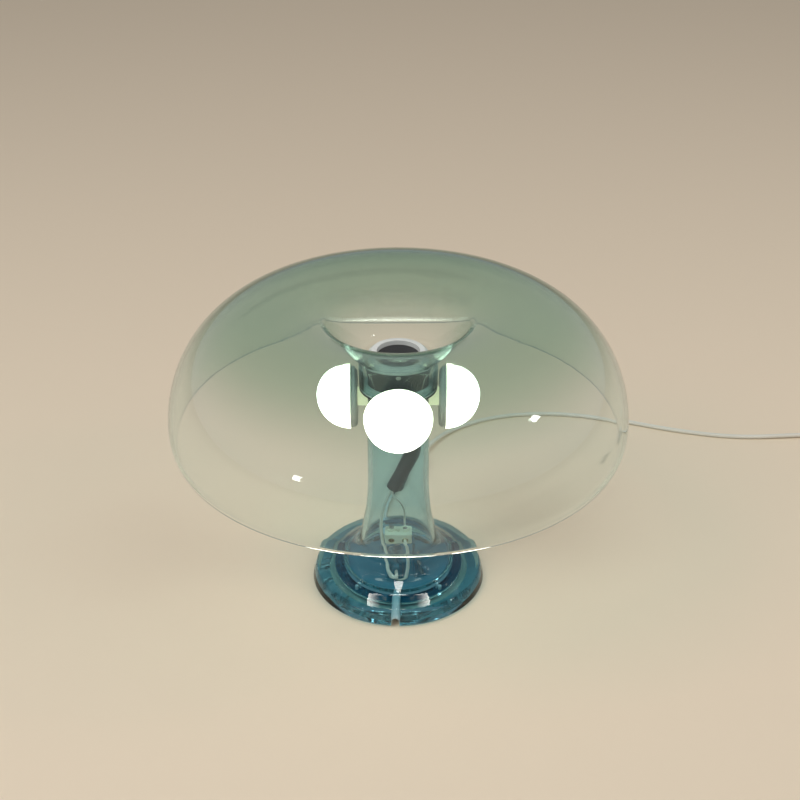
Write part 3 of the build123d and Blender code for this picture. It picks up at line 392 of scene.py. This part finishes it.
# ---------------------------------------------------------------- shade
# One moulding in clear blue-green plastic, 3 mm thick everywhere: a straight collar that sits on
# the hub, a funnel that opens out of it, the rolled crest and the dome down to its round rim.
def turning():
    """Geometry Nodes: turns a profile's vertices, in their order, about Z into a closed skin."""
    tree = bpy.data.node_groups.new("turning", "GeometryNodeTree")
    group_socket(tree, "Profile", "NodeSocketGeometry")
    group_socket(tree, "Rows", "NodeSocketInt", 2)
    group_socket(tree, "Segments", "NodeSocketInt", 96)
    group_socket(tree, "Material", "NodeSocketMaterial")
    group_socket(tree, "Mesh", "NodeSocketGeometry", outgoing=True)
    nodes = tree.nodes
    entry, leave = nodes.new("NodeGroupInput"), nodes.new("NodeGroupOutput")
    # The grid has Segments + 1 columns and runs from -0.5 to 0.5 both ways.
    columns = nodes.new("ShaderNodeMath")
    columns.inputs[1].default_value = 1.0
    sheet = nodes.new("GeometryNodeMeshGrid")
    place = nodes.new("GeometryNodeInputPosition")
    parts = nodes.new("ShaderNodeSeparateXYZ")
    turn = nodes.new("ShaderNodeMath")
    turn.operation = "MULTIPLY_ADD"
    turn.inputs[1].default_value = 2 * pi
    turn.inputs[2].default_value = pi
    last = nodes.new("ShaderNodeMath")
    last.operation = "SUBTRACT"
    last.inputs[1].default_value = 1.0
    share = nodes.new("ShaderNodeMath")
    share.inputs[1].default_value = 0.5
    row = nodes.new("ShaderNodeMath")
    row.operation = "MULTIPLY"
    whole = nodes.new("ShaderNodeMath")
    whole.operation = "ROUND"
    outline = nodes.new("GeometryNodeInputPosition")
    picked = nodes.new("GeometryNodeSampleIndex")
    picked.data_type = "FLOAT_VECTOR"
    swung = nodes.new("ShaderNodeVectorRotate")
    swung.rotation_type = "Z_AXIS"
    placed = nodes.new("GeometryNodeSetPosition")
    welded = nodes.new("GeometryNodeMergeByDistance")
    welded.inputs["Distance"].default_value = 1e-6
    real = nodes.new("GeometryNodeRealizeInstances")
    coated = nodes.new("GeometryNodeSetMaterial")
    wire(
        tree,
        (entry, "Segments", columns, 0),
        (columns, 0, sheet, "Vertices X"),
        (entry, "Rows", sheet, "Vertices Y"),
        (place, 0, parts, 0),
        (parts, "X", turn, 0),
        (parts, "Y", share, 0),
        (entry, "Rows", last, 0),
        (share, 0, row, 0),
        (last, 0, row, 1),
        (row, 0, whole, 0),
        (entry, "Profile", picked, "Geometry"),
        (outline, 0, picked, "Value"),
        (whole, 0, picked, "Index"),
        (picked, "Value", swung, "Vector"),
        (turn, 0, swung, "Angle"),
        (sheet, "Mesh", placed, "Geometry"),
        (swung, 0, placed, "Position"),
        (placed, 0, welded, 0),
        (welded, 0, real, 0),
        (real, 0, coated, "Geometry"),
        (entry, "Material", coated, "Material"),
        (coated, 0, leave, "Mesh"),
    )
    return tree


turning_tree = turning()


def grown(name, mesh, tree, inputs):
    """Runs a Geometry Nodes tree on a mesh and keeps the result as one plain closed mesh."""
    seed = bpy.data.objects.new(name, mesh)
    bpy.context.scene.collection.objects.link(seed)
    modifier = seed.modifiers.new(tree.name, "NODES")
    modifier.node_group = tree
    for item in tree.interface.items_tree:
        if item.in_out == "INPUT" and item.name in inputs:
            modifier[item.identifier] = inputs[item.name]
    graph = bpy.context.evaluated_depsgraph_get()
    result = bpy.data.meshes.new_from_object(seed.evaluated_get(graph))
    seed.modifiers.remove(modifier)
    seed.data = result
    work = bmesh.new()
    work.from_mesh(result)
    bmesh.ops.remove_doubles(work, verts=work.verts, dist=1e-6)
    bmesh.ops.recalc_face_normals(work, faces=work.faces)
    work.to_mesh(result)
    work.free()
    return seed


def turned(name, profile, material, segments=96, sharp=30):
    """A piece turned about Z from a closed outline of (radius, height) points."""
    loop = profile + profile[:1]
    mesh = bpy.data.meshes.new(name)
    mesh.from_pydata([(r, 0, z) for r, z in loop], [], [])
    inputs = {"Rows": len(loop), "Segments": segments, "Material": material}
    piece = grown(name, mesh, turning_tree, inputs)
    piece.data.shade_smooth()
    piece.data.set_sharp_from_angle(angle=radians(sharp))
    return piece


def arc(centre, radii, start, end, count):
    """Points on an arc of a circle or ellipse, from and to these angles, ends included."""
    angles = [radians(start + (end - start) * i / count) for i in range(count + 1)]
    return [(centre[0] + radii[0] * cos(a), centre[1] + radii[1] * sin(a)) for a in angles]


def rounded(points, radii, count=10):
    """A line through (radius, height) points, each inner corner an arc of its radius, or less."""
    most = 0.45    # of the shorter side that a corner's arc may take up
    line = [points[0]]
    for before, corner, after, radius in zip(points, points[1:], points[2:], radii):
        start, middle, end = Vector(before), Vector(corner), Vector(after)
        arriving, leaving = (middle - start).normalized(), (end - middle).normalized()
        turn = arriving.angle(leaving)
        shorter = min((middle - start).length, (end - middle).length)
        reach = min(radius * tan(turn / 2), most * shorter)
        radius = reach / tan(turn / 2)
        inwards = (leaving - arriving).normalized()
        centre = middle + inwards * (radius / cos(turn / 2))
        first = middle - arriving * reach - centre
        side = 1 if arriving.x * leaving.y - arriving.y * leaving.x > 0 else -1
        for i in range(count + 1):
            bend = Matrix.Rotation(side * turn * i / count, 2)
            line.append(tuple(centre + bend @ first))
    return line + [points[-1]]


def clear_moulding(name, tints, heights, absorbing, density, shadow_tint):
    """Clear plastic tinted by its depth, and more strongly from one height up to another."""
    material = bpy.data.materials.new(name)
    material.use_nodes = True
    tree = material.node_tree
    nodes = tree.nodes
    shader = nodes["Principled BSDF"]
    shader.inputs["Transmission Weight"].default_value = 1.0
    shader.inputs["IOR"].default_value = 1.49
    marks = nodes.new("ShaderNodeGroup")
    marks.node_tree = marks_tree
    marks.inputs["Grain Scale"].default_value = 60.0
    marks.inputs["Patch Scale"].default_value = 14.0
    marks.inputs["Roughness Low"].default_value = 0.0
    marks.inputs["Roughness High"].default_value = 0.035
    place = nodes.new("ShaderNodeTexCoord")
    parts = nodes.new("ShaderNodeSeparateXYZ")
    rise = nodes.new("ShaderNodeMapRange")
    rise.interpolation_type = "SMOOTHSTEP"
    rise.inputs["From Min"].default_value = heights[0]
    rise.inputs["From Max"].default_value = heights[1]
    tones = nodes.new("ShaderNodeMix")
    tones.data_type = "RGBA"
    tones.inputs["A"].default_value = (*tints[0], 1)
    tones.inputs["B"].default_value = (*tints[1], 1)
    ripple = nodes.new("ShaderNodeBump")
    ripple.inputs["Strength"].default_value = 0.02
    ripple.inputs["Distance"].default_value = 0.001
    body = nodes.new("ShaderNodeVolumeAbsorption")
    body.inputs["Color"].default_value = (*absorbing, 1)
    body.inputs["Density"].default_value = density
    paths = nodes.new("ShaderNodeLightPath")
    through = nodes.new("ShaderNodeBsdfTransparent")
    through.inputs["Color"].default_value = (*shadow_tint, 1)
    both = nodes.new("ShaderNodeMixShader")
    output = nodes["Material Output"]
    wire(
        tree,
        (place, "Object", parts, "Vector"),
        (parts, "Z", rise, "Value"),
        (rise, "Result", tones, "Factor"),
        (tones, "Result", shader, "Base Color"),
        (marks, "Roughness", shader, "Roughness"),
        (marks, "Grain", ripple, "Height"),
        (ripple, "Normal", shader, "Normal"),
        (paths, "Is Shadow Ray", both, 0),
        (shader, "BSDF", both, 1),
        (through, "BSDF", both, 2),
        (both, 0, output, "Surface"),
        (body, 0, output, "Volume"),
    )
    return material


shade_clear = clear_moulding(
    "shade_clear", tints=((0.985, 0.985, 0.965), (0.50, 0.66, 0.58)), heights=(0.182, 0.225),
    absorbing=(0.10, 0.74, 0.80), density=28, shadow_tint=(0.90, 0.96, 0.95))
seat_height = 0.1655         # top of the gasket that the collar stands on
shade_wall = 0.003
collar_radius = 0.024
collar_height = 0.0222
funnel_slope = radians(46)
lip_radius = 0.051
lip_slope = radians(20)
crest_radius = 0.086
crest_bend = 0.086
dome_width = 0.074
dome_drop = 0.081
rim_drop = 0.009
rim_tuck = 0.0015
lip_height = seat_height + collar_height + (lip_radius - collar_radius) * tan(funnel_slope)
crest_start = crest_radius - crest_bend * sin(lip_slope)
crest_start_height = lip_height + (crest_start - lip_radius) * tan(lip_slope)
crest_height = crest_start_height + crest_bend * (1 - cos(lip_slope))
widest_height = crest_height - dome_drop


def moved_aside(points, distance):
    """The corners of the same line moved to its right-hand side."""
    lines = []
    for start, end in zip(points, points[1:]):
        way = (Vector(end) - Vector(start)).normalized()
        side = Vector((way.y, -way.x)) * distance
        lines.append((Vector(start) + side, way))
    moved = [tuple(lines[0][0])]
    for (a, u), (b, v) in zip(lines, lines[1:]):
        reach = ((b - a).x * v.y - (b - a).y * v.x) / (u.x * v.y - u.y * v.x)
        moved.append(tuple(a + u * reach))
    end_way = lines[-1][1]
    moved.append(tuple(Vector(points[-1]) + Vector((end_way.y, -end_way.x)) * distance))
    return moved


def shade_face(depth, bends):
    """One face of the shade's section, from the collar to the rim."""
    funnel = [
        (collar_radius, seat_height),
        (collar_radius, seat_height + collar_height),
        (lip_radius, lip_height),
        (crest_start, crest_start_height),
    ]
    line = rounded(moved_aside(funnel, depth) if depth else funnel, bends, 12)
    crest = crest_bend - depth
    start = 90 + degrees(lip_slope)
    line += arc((crest_radius, crest_height - crest_bend), (crest, crest), start, 90, 8)[1:]
    dome = (dome_width - depth, dome_drop - depth)
    line += arc((crest_radius, widest_height), dome, 90, 0, 40)[1:]
    tuck_radius = (rim_tuck**2 + rim_drop**2) / (2 * rim_tuck)
    widest = crest_radius + dome_width - depth
    sweep = degrees(2 * atan2(rim_tuck, rim_drop))
    line += arc((widest - tuck_radius, widest_height), (tuck_radius, tuck_radius), 0, -sweep, 6)[1:]
    return line


upper_bends = [0.015, 0.020]    # over the collar and at the funnel's lip
lower_bends = [0.012, 0.017]
upper_face = shade_face(0, upper_bends)
lower_face = shade_face(shade_wall, lower_bends)
rim_middle = ((upper_face[-1][0] + lower_face[-1][0]) / 2, upper_face[-1][1])
rim_round = arc(rim_middle, (shade_wall / 2, shade_wall / 2), 0, -180, 10)[1:-1]
shade_section = upper_face + rim_round + lower_face[::-1]
shade = turned("tinted_shade", shade_section, shade_clear, segments=192, sharp=50)
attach(shade, "shade")
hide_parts("shade")


# ---------------------------------------------------------------- foot and stem
# One clear moulding, deeper blue-green where it is thick: a tube stem that opens out into a
# hollow foot with a solid outer ring. Two round-topped notches are milled under its edge, one at
# the front and one at the back for the cord.
def cut_by(piece, *cutters):
    """Takes the cutters out of a piece for good, and clears them away."""
    for cutter in cutters:
        take = piece.modifiers.new("cut", "BOOLEAN")
        take.object = cutter
        take.solver = "EXACT"
    graph = bpy.context.evaluated_depsgraph_get()
    result = bpy.data.meshes.new_from_object(piece.evaluated_get(graph))
    for take in list(piece.modifiers):
        piece.modifiers.remove(take)
    piece.data = result
    for cutter in cutters:
        bpy.data.objects.remove(cutter)


def extruded(name, outline, low, high, place):
    """A closed prism: an outline of (x, y) points from low to high, moved by a matrix."""
    work = bmesh.new()
    rings = [[work.verts.new((x, y, z)) for x, y in outline] for z in (low, high)]
    work.faces.new(rings[0][::-1])
    work.faces.new(rings[1])
    for i in range(len(outline)):
        j = (i + 1) % len(outline)
        work.faces.new((rings[0][i], rings[0][j], rings[1][j], rings[1][i]))
    bmesh.ops.transform(work, matrix=place, verts=work.verts)
    bmesh.ops.recalc_face_normals(work, faces=work.faces)
    mesh = bpy.data.meshes.new(name)
    work.to_mesh(mesh)
    work.free()
    piece = bpy.data.objects.new(name, mesh)
    bpy.context.scene.collection.objects.link(piece)
    return piece


def notch_cutter(width, height, angle, inner=0.0355, outer=0.068, below=-0.002):
    """The shape of a round-topped radial notch that runs out under the foot's edge."""
    half = width / 2
    shoulder = height - half
    outline = [(below, -half), (shoulder, -half)]
    outline += arc((shoulder, 0), (half, half), -90, 90, 12)[1:-1]
    outline += [(shoulder, half), (below, half)]
    upright = Matrix(((0, 0, 1, 0), (0, 1, 0, 0), (1, 0, 0, 0), (0, 0, 0, 1)))
    place = Matrix.Rotation(radians(angle), 4, "Z") @ upright
    return extruded("notch", outline, inner, outer, place)


def crossing(a, b, c, d):
    """Where the line through a and b meets the line through c and d."""
    u, v = Vector(b) - Vector(a), Vector(d) - Vector(c)
    reach = ((c[0] - a[0]) * v.y - (c[1] - a[1]) * v.x) / (u.x * v.y - u.y * v.x)
    return tuple(Vector(a) + u * reach)


base_clear = clear_moulding(
    "base_clear", tints=((0.93, 0.97, 0.98), (0.76, 0.90, 0.93)), heights=(0.012, 0.075),
    absorbing=(0.16, 0.62, 0.72), density=62, shadow_tint=(0.80, 0.90, 0.92))
stem_radius = 0.022
stem_wall = 0.0034
stem_top = 0.138
flare_top = 0.068            # the stem opens out below this height
flare_reach = 0.0082
flare_bottom = 0.0256
foot_radius = 0.064
foot_flat_radius = 0.061
foot_flat_height = 0.012
foot_bottom = 0.001
roof_wall = 0.004            # over the foot's hollow
plate_top = 0.0034
hollow_radius = 0.0445
ledge_radius = 0.0395
outer_corners = [
    (stem_radius, stem_top),
    (stem_radius, flare_top),
    (stem_radius + flare_reach, flare_bottom),
    (foot_flat_radius, foot_flat_height),
    (foot_radius, foot_bottom),
]
tube_side = moved_aside(outer_corners[:3], stem_wall)
roof_side = moved_aside(outer_corners[2:4], roof_wall)
inner_corners = [
    (ledge_radius, plate_top),
    crossing(*roof_side, (ledge_radius, 0), (ledge_radius, 1)),
    crossing(*tube_side[1:], *roof_side),
    (stem_radius - stem_wall, tube_side[1][1]),
    (stem_radius - stem_wall, stem_top),
]
roof_dip = (0.048, 0.0160)   # the top of the foot hollows out slightly before its shoulder
outer_bends = [0.250, 0.036, 0.016, 0.0045, 0.0016]    # from the stem down to the lower edge
inner_bends = [0.005, 0.032, 0.246]                    # from the hollow up to the stem
base_section = rounded(
    outer_corners[:3] + [roof_dip] + outer_corners[3:] + [(foot_flat_radius, foot_bottom)],
    outer_bends, 14)
base_section += [(hollow_radius, foot_bottom), (hollow_radius, plate_top)]
base_section += rounded(inner_corners, inner_bends, 14)
base = turned("tinted_base", base_section, base_clear, segments=160, sharp=40)
cord_notch = notch_cutter(width=0.008, height=0.0095, angle=104.6)
front_notch = notch_cutter(width=0.006, height=0.007, angle=268)
screw_circle = 0.04125
screw_angles = (20, 160, 225, 315)
hole_radius = 0.0013
hole_top = 0.0084
hole_outline = arc((0, 0), (hole_radius, hole_radius), 0, 330, 11)
screw_holes = []
for angle in screw_angles:
    spot = (screw_circle * cos(radians(angle)), screw_circle * sin(radians(angle)), 0)
    screw_holes.append(extruded("hole", hole_outline, 0, hole_top, Matrix.Translation(spot)))
cut_by(base, cord_notch, front_notch, *screw_holes)
base.data.shade_smooth()
base.data.set_sharp_from_angle(angle=radians(40))
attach(base, "root")
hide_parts("base_stem")

# ---------------------------------------------------------------- foot ring, bottom plate, clamp
# A milky soft ring to stand on, and the moulded disc in the foot's recess that carries the cord's
# clamp, the bracket and their screws. Disc and clamp are a dark blue-green that is painted shade,
# standing for the shaded floor of the hollow.
milky_teal = skin(
    "milky_teal", (0.46, 0.66, 0.66), (0.38, 0.58, 0.59),
    roughness=(0.4, 0.55), grain_scale=2600, bump=0.15)
# Painted shade: a dark blue-green for the shaded floor inside the foot's hollow.
painted_shade_teal = skin(
    "painted_shade_teal", (0.035, 0.20, 0.29), (0.05, 0.24, 0.33),
    roughness=(0.3, 0.45), grain_scale=2600, bump=0.2)
fitted("foot_ring", milky_teal)
fitted("bottom_plate", painted_shade_teal, edge=0.00015)
fitted("cord_clamp", painted_shade_teal, edge=0.00025)
fitted("plate_screws", zinc_steel)
fitted("clamp_screws", zinc_steel)

# ---------------------------------------------------------------- terminal block, relief and leads
# A pale moulded two-way block with brass barrels and steel grub screws, on a bent bracket. The
# bracket and the ribbed relief take the plate's dark blue-green, painted shade as in the foot's
# shaded hollow. The cord's cores leave the relief: one loops up into the block, the other goes past
# it and up the stem through a black sleeve, beside the block's own lead.
block_plastic = skin(
    "block_plastic", (0.95, 0.87, 0.68), (0.88, 0.79, 0.61),
    roughness=(0.3, 0.46), grain_scale=2800, bump=0.2)
# Painted shade: the bracket's dark blue-green stands for the shaded space under the block.
painted_shade_sheet = skin(
    "painted_shade_sheet", (0.04, 0.17, 0.25), (0.05, 0.20, 0.28),
    roughness=(0.32, 0.5), grain_scale=3600, bump=0.25)
# Painted shade: the relief's dark blue-green stands for the shaded hollow it lies in.
painted_shade_relief = skin(
    "painted_shade_relief", (0.06, 0.21, 0.28), (0.08, 0.25, 0.32),
    roughness=(0.14, 0.26), grain_scale=2600, bump=0.15)
lead_pale = skin(
    "lead_pale", (0.98, 0.85, 0.72), (0.92, 0.78, 0.65),
    roughness=(0.28, 0.42), grain_scale=3000, bump=0.08)
sleeve_black = skin(
    "sleeve_black", (0.03, 0.032, 0.036), (0.05, 0.052, 0.056),
    roughness=(0.34, 0.5), grain_scale=2200, bump=0.3)
fitted("terminal_bracket", painted_shade_sheet, edge=0.0002)
fitted("terminal_block", block_plastic, edge=0.0002)
fitted("terminal_barrels", bright_brass)
fitted("terminal_screws", zinc_steel)
fitted("cord_relief", painted_shade_relief, edge=0.00015)
fitted("lead_light", lead_pale)
fitted("lead_long", lead_pale)
fitted("riser_lead", lead_pale)
fitted("wire_sleeve", sleeve_black, edge=0.0003)

# ---------------------------------------------------------------- hub, seal and gasket
# A turned and painted metal can: its spigot goes into the stem through a soft milky seal, four
# round holes take the bulbs' necks and the flange with its soft lip carries the shade's collar.
hub_metal = skin(
    "hub_metal", (0.060, 0.058, 0.062), (0.090, 0.088, 0.092),
    roughness=(0.50, 0.64), grain_scale=3800, bump=0.18, metallic=0.2)
fitted("hub", hub_metal, edge=0.0002)
milky_soft = skin(
    "milky_soft", (0.80, 0.83, 0.81), (0.72, 0.76, 0.74),
    roughness=(0.35, 0.5), grain_scale=2400, bump=0.1)
fitted("stem_seal", milky_soft)
fitted("shade_gasket", milky_soft, edge=0.0001)
fitted("socket_plate", hub_metal, edge=0.00015)
fitted("plate_bolts", zinc_steel)
fitted("hub_connector", block_plastic, edge=0.0002)
fitted("socket_leads", lead_pale)
fitted("socket_screws", zinc_steel)
ceramic = skin(
    "ceramic", (0.78, 0.77, 0.73), (0.70, 0.69, 0.65),
    roughness=(0.35, 0.5), grain_scale=2200, bump=0.2)
for number in range(1, 5):
    fitted(f"socket_{number}", ceramic, edge=0.0003)

# ---------------------------------------------------------------- ring and cap
# A turned metal ring, enamelled white, closes the hub at the bottom of the funnel. Three screws go
# through the hub's wall into its skirt, and a black moulded disc lies on a ledge inside it.
enamel = skin(
    "enamel", (0.83, 0.84, 0.83), (0.77, 0.78, 0.77),
    roughness=(0.16, 0.30), grain_scale=1800, bump=0.06)
cap_black = skin(
    "cap_black", (0.018, 0.018, 0.02), (0.032, 0.032, 0.035),
    roughness=(0.34, 0.5), grain_scale=3400, bump=0.3)
fitted("top_ring", enamel, edge=0.0004)
fitted("top_cap", cap_black, edge=0.0004)
fitted("cap_screws", zinc_steel)


# ---------------------------------------------------------------- bulbs
# Four round bulbs push into the hub on two pins each: a pale painted metal body with its neck and
# an opal half globe over the lamp board, lit from inside, a little warmer and dimmer at its base.
bulb_axis_height = 0.1555
globe_start = 0.033          # the globe's flat side, from the lamp's axis
globe_radius = 0.0235
globe_wall = 0.0012
glow_start = 0.0005          # the globe is dimmest this far out from its flat side


def glowing_opal():
    """Opal plastic lit from inside. Its reflections carry a painted glow, stronger than its own
    light.
    """
    material = bpy.data.materials.new("glowing_opal")
    material.use_nodes = True
    tree = material.node_tree
    shader = tree.nodes["Principled BSDF"]
    shader.inputs["Base Color"].default_value = (0.95, 0.95, 0.93, 1)
    shader.inputs["Emission Strength"].default_value = 6.0
    marks = tree.nodes.new("ShaderNodeGroup")
    marks.node_tree = marks_tree
    marks.inputs["Grain Scale"].default_value = 1500.0
    marks.inputs["Patch Scale"].default_value = 25.0
    marks.inputs["Roughness Low"].default_value = 0.22
    marks.inputs["Roughness High"].default_value = 0.34
    paths = tree.nodes.new("ShaderNodeLightPath")
    # Painted reflection: glossy rays that don't pass through glass see this stronger emission, up
    # to 16, weaker with ray length and toward the globe's base.
    painted_reflection = tree.nodes.new("ShaderNodeEmission")
    painted_reflection.inputs["Color"].default_value = (1.0, 0.96, 0.88, 1)
    fading = tree.nodes.new("ShaderNodeMapRange")
    fading.interpolation_type = "SMOOTHSTEP"
    fading.inputs["To Min"].default_value = 16.0
    fading.inputs["To Max"].default_value = 1.0
    nearness = tree.nodes.new("ShaderNodeMapRange")
    nearness.inputs["From Min"].default_value = 0.07
    nearness.inputs["From Max"].default_value = 0.11
    nearness.inputs["To Min"].default_value = 0.08
    nearness.inputs["To Max"].default_value = 1.0
    strength = tree.nodes.new("ShaderNodeMath")
    strength.operation = "MULTIPLY"
    mirrored = tree.nodes.new("ShaderNodeMath")
    mirrored.operation = "SUBTRACT"
    mirrored.use_clamp = True
    both = tree.nodes.new("ShaderNodeMixShader")
    place = tree.nodes.new("ShaderNodeTexCoord")
    flat = tree.nodes.new("ShaderNodeVectorMath")
    flat.operation = "MULTIPLY"
    flat.inputs[1].default_value = (1, 1, 0)
    reach = tree.nodes.new("ShaderNodeVectorMath")
    reach.operation = "LENGTH"
    towards_base = tree.nodes.new("ShaderNodeMapRange")
    towards_base.inputs["From Min"].default_value = globe_start + globe_radius
    towards_base.inputs["From Max"].default_value = globe_start + glow_start
    glow = tree.nodes.new("ShaderNodeMix")
    glow.data_type = "RGBA"
    glow.inputs["A"].default_value = (1.0, 0.97, 0.90, 1)
    glow.inputs["B"].default_value = (0.88, 0.76, 0.60, 1)
    wire(
        tree,
        (place, "Object", flat, 0),
        (flat, "Vector", reach, 0),
        (reach, "Value", towards_base, "Value"),
        (towards_base, "Result", glow, "Factor"),
        (towards_base, "Result", fading, "Value"),
        (paths, "Ray Length", nearness, "Value"),
        (fading, "Result", strength, 0),
        (nearness, "Result", strength, 1),
        (strength, 0, painted_reflection, "Strength"),
        (glow, "Result", shader, "Emission Color"),
        (marks, "Roughness", shader, "Roughness"),
        (paths, "Is Glossy Ray", mirrored, 0),
        (paths, "Is Transmission Ray", mirrored, 1),
        (mirrored, 0, both, 0),
        (shader, "BSDF", both, 1),
        (painted_reflection, "Emission", both, 2),
        (both, 0, tree.nodes["Material Output"], "Surface"),
    )
    return material


opal = glowing_opal()
# Painted light: each neck collar glows pale yellow with its own emission, though only the globes
# give light.
painted_glow_neck = skin(
    "painted_glow_neck", (0.90, 0.88, 0.72), (0.84, 0.80, 0.62),
    roughness=(0.3, 0.42), grain_scale=2400, bump=0.1)
neck_shader = painted_glow_neck.node_tree.nodes["Principled BSDF"]
neck_shader.inputs["Emission Color"].default_value = (1.0, 0.93, 0.62, 1)
neck_shader.inputs["Emission Strength"].default_value = 0.9
neck_inner, neck_outer = 0.00652, 0.0069
neck_start, neck_end = 0.0209, 0.0281    # the lit collar's two ends, from the lamp's axis
neck_bevel = 0.0004
neck_section = [
    (neck_inner, neck_start),
    (neck_outer, neck_start + neck_bevel),
    (neck_outer, neck_end - neck_bevel),
    (neck_inner, neck_end),
]
shell_grey = skin(
    "shell_grey", (0.60, 0.60, 0.59), (0.52, 0.52, 0.51),
    roughness=(0.26, 0.4), grain_scale=2600, bump=0.12)
board_white = skin(
    "board_white", (0.85, 0.85, 0.82), (0.78, 0.78, 0.74),
    roughness=(0.35, 0.5), grain_scale=2400, bump=0.1)
inner_radius = globe_radius - globe_wall
globe_section = arc((0, 0), (globe_radius, globe_radius), 0, 90, 24)
globe_section += arc((0, 0), (inner_radius, inner_radius), 90, 0, 16)
for number in range(1, 5):
    globe = turned(f"bulb_{number}_opal", globe_section, opal, segments=64, sharp=40)
    outward = Matrix.Rotation(radians(90 * (number - 1)), 4, "Z")
    lying = Matrix.Translation((globe_start, 0, bulb_axis_height)) @ Matrix.Rotation(pi / 2, 4, "Y")
    globe.data.transform(outward @ lying)
    neck = turned(f"bulb_{number}_neck", neck_section, painted_glow_neck, segments=48, sharp=30)
    raised = Matrix.Translation((0, 0, bulb_axis_height))
    neck.data.transform(outward @ raised @ Matrix.Rotation(pi / 2, 4, "Y"))
    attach(neck, f"bulb_{number}")
    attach(globe, f"bulb_{number}")
    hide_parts(f"bulb_{number}_globe")
    fitted(f"bulb_{number}_body", shell_grey, f"bulb_{number}", edge=0.0003)
    fitted(f"bulb_{number}_board", board_white, f"bulb_{number}")
    fitted(f"bulb_{number}_pins", plated, f"bulb_{number}")
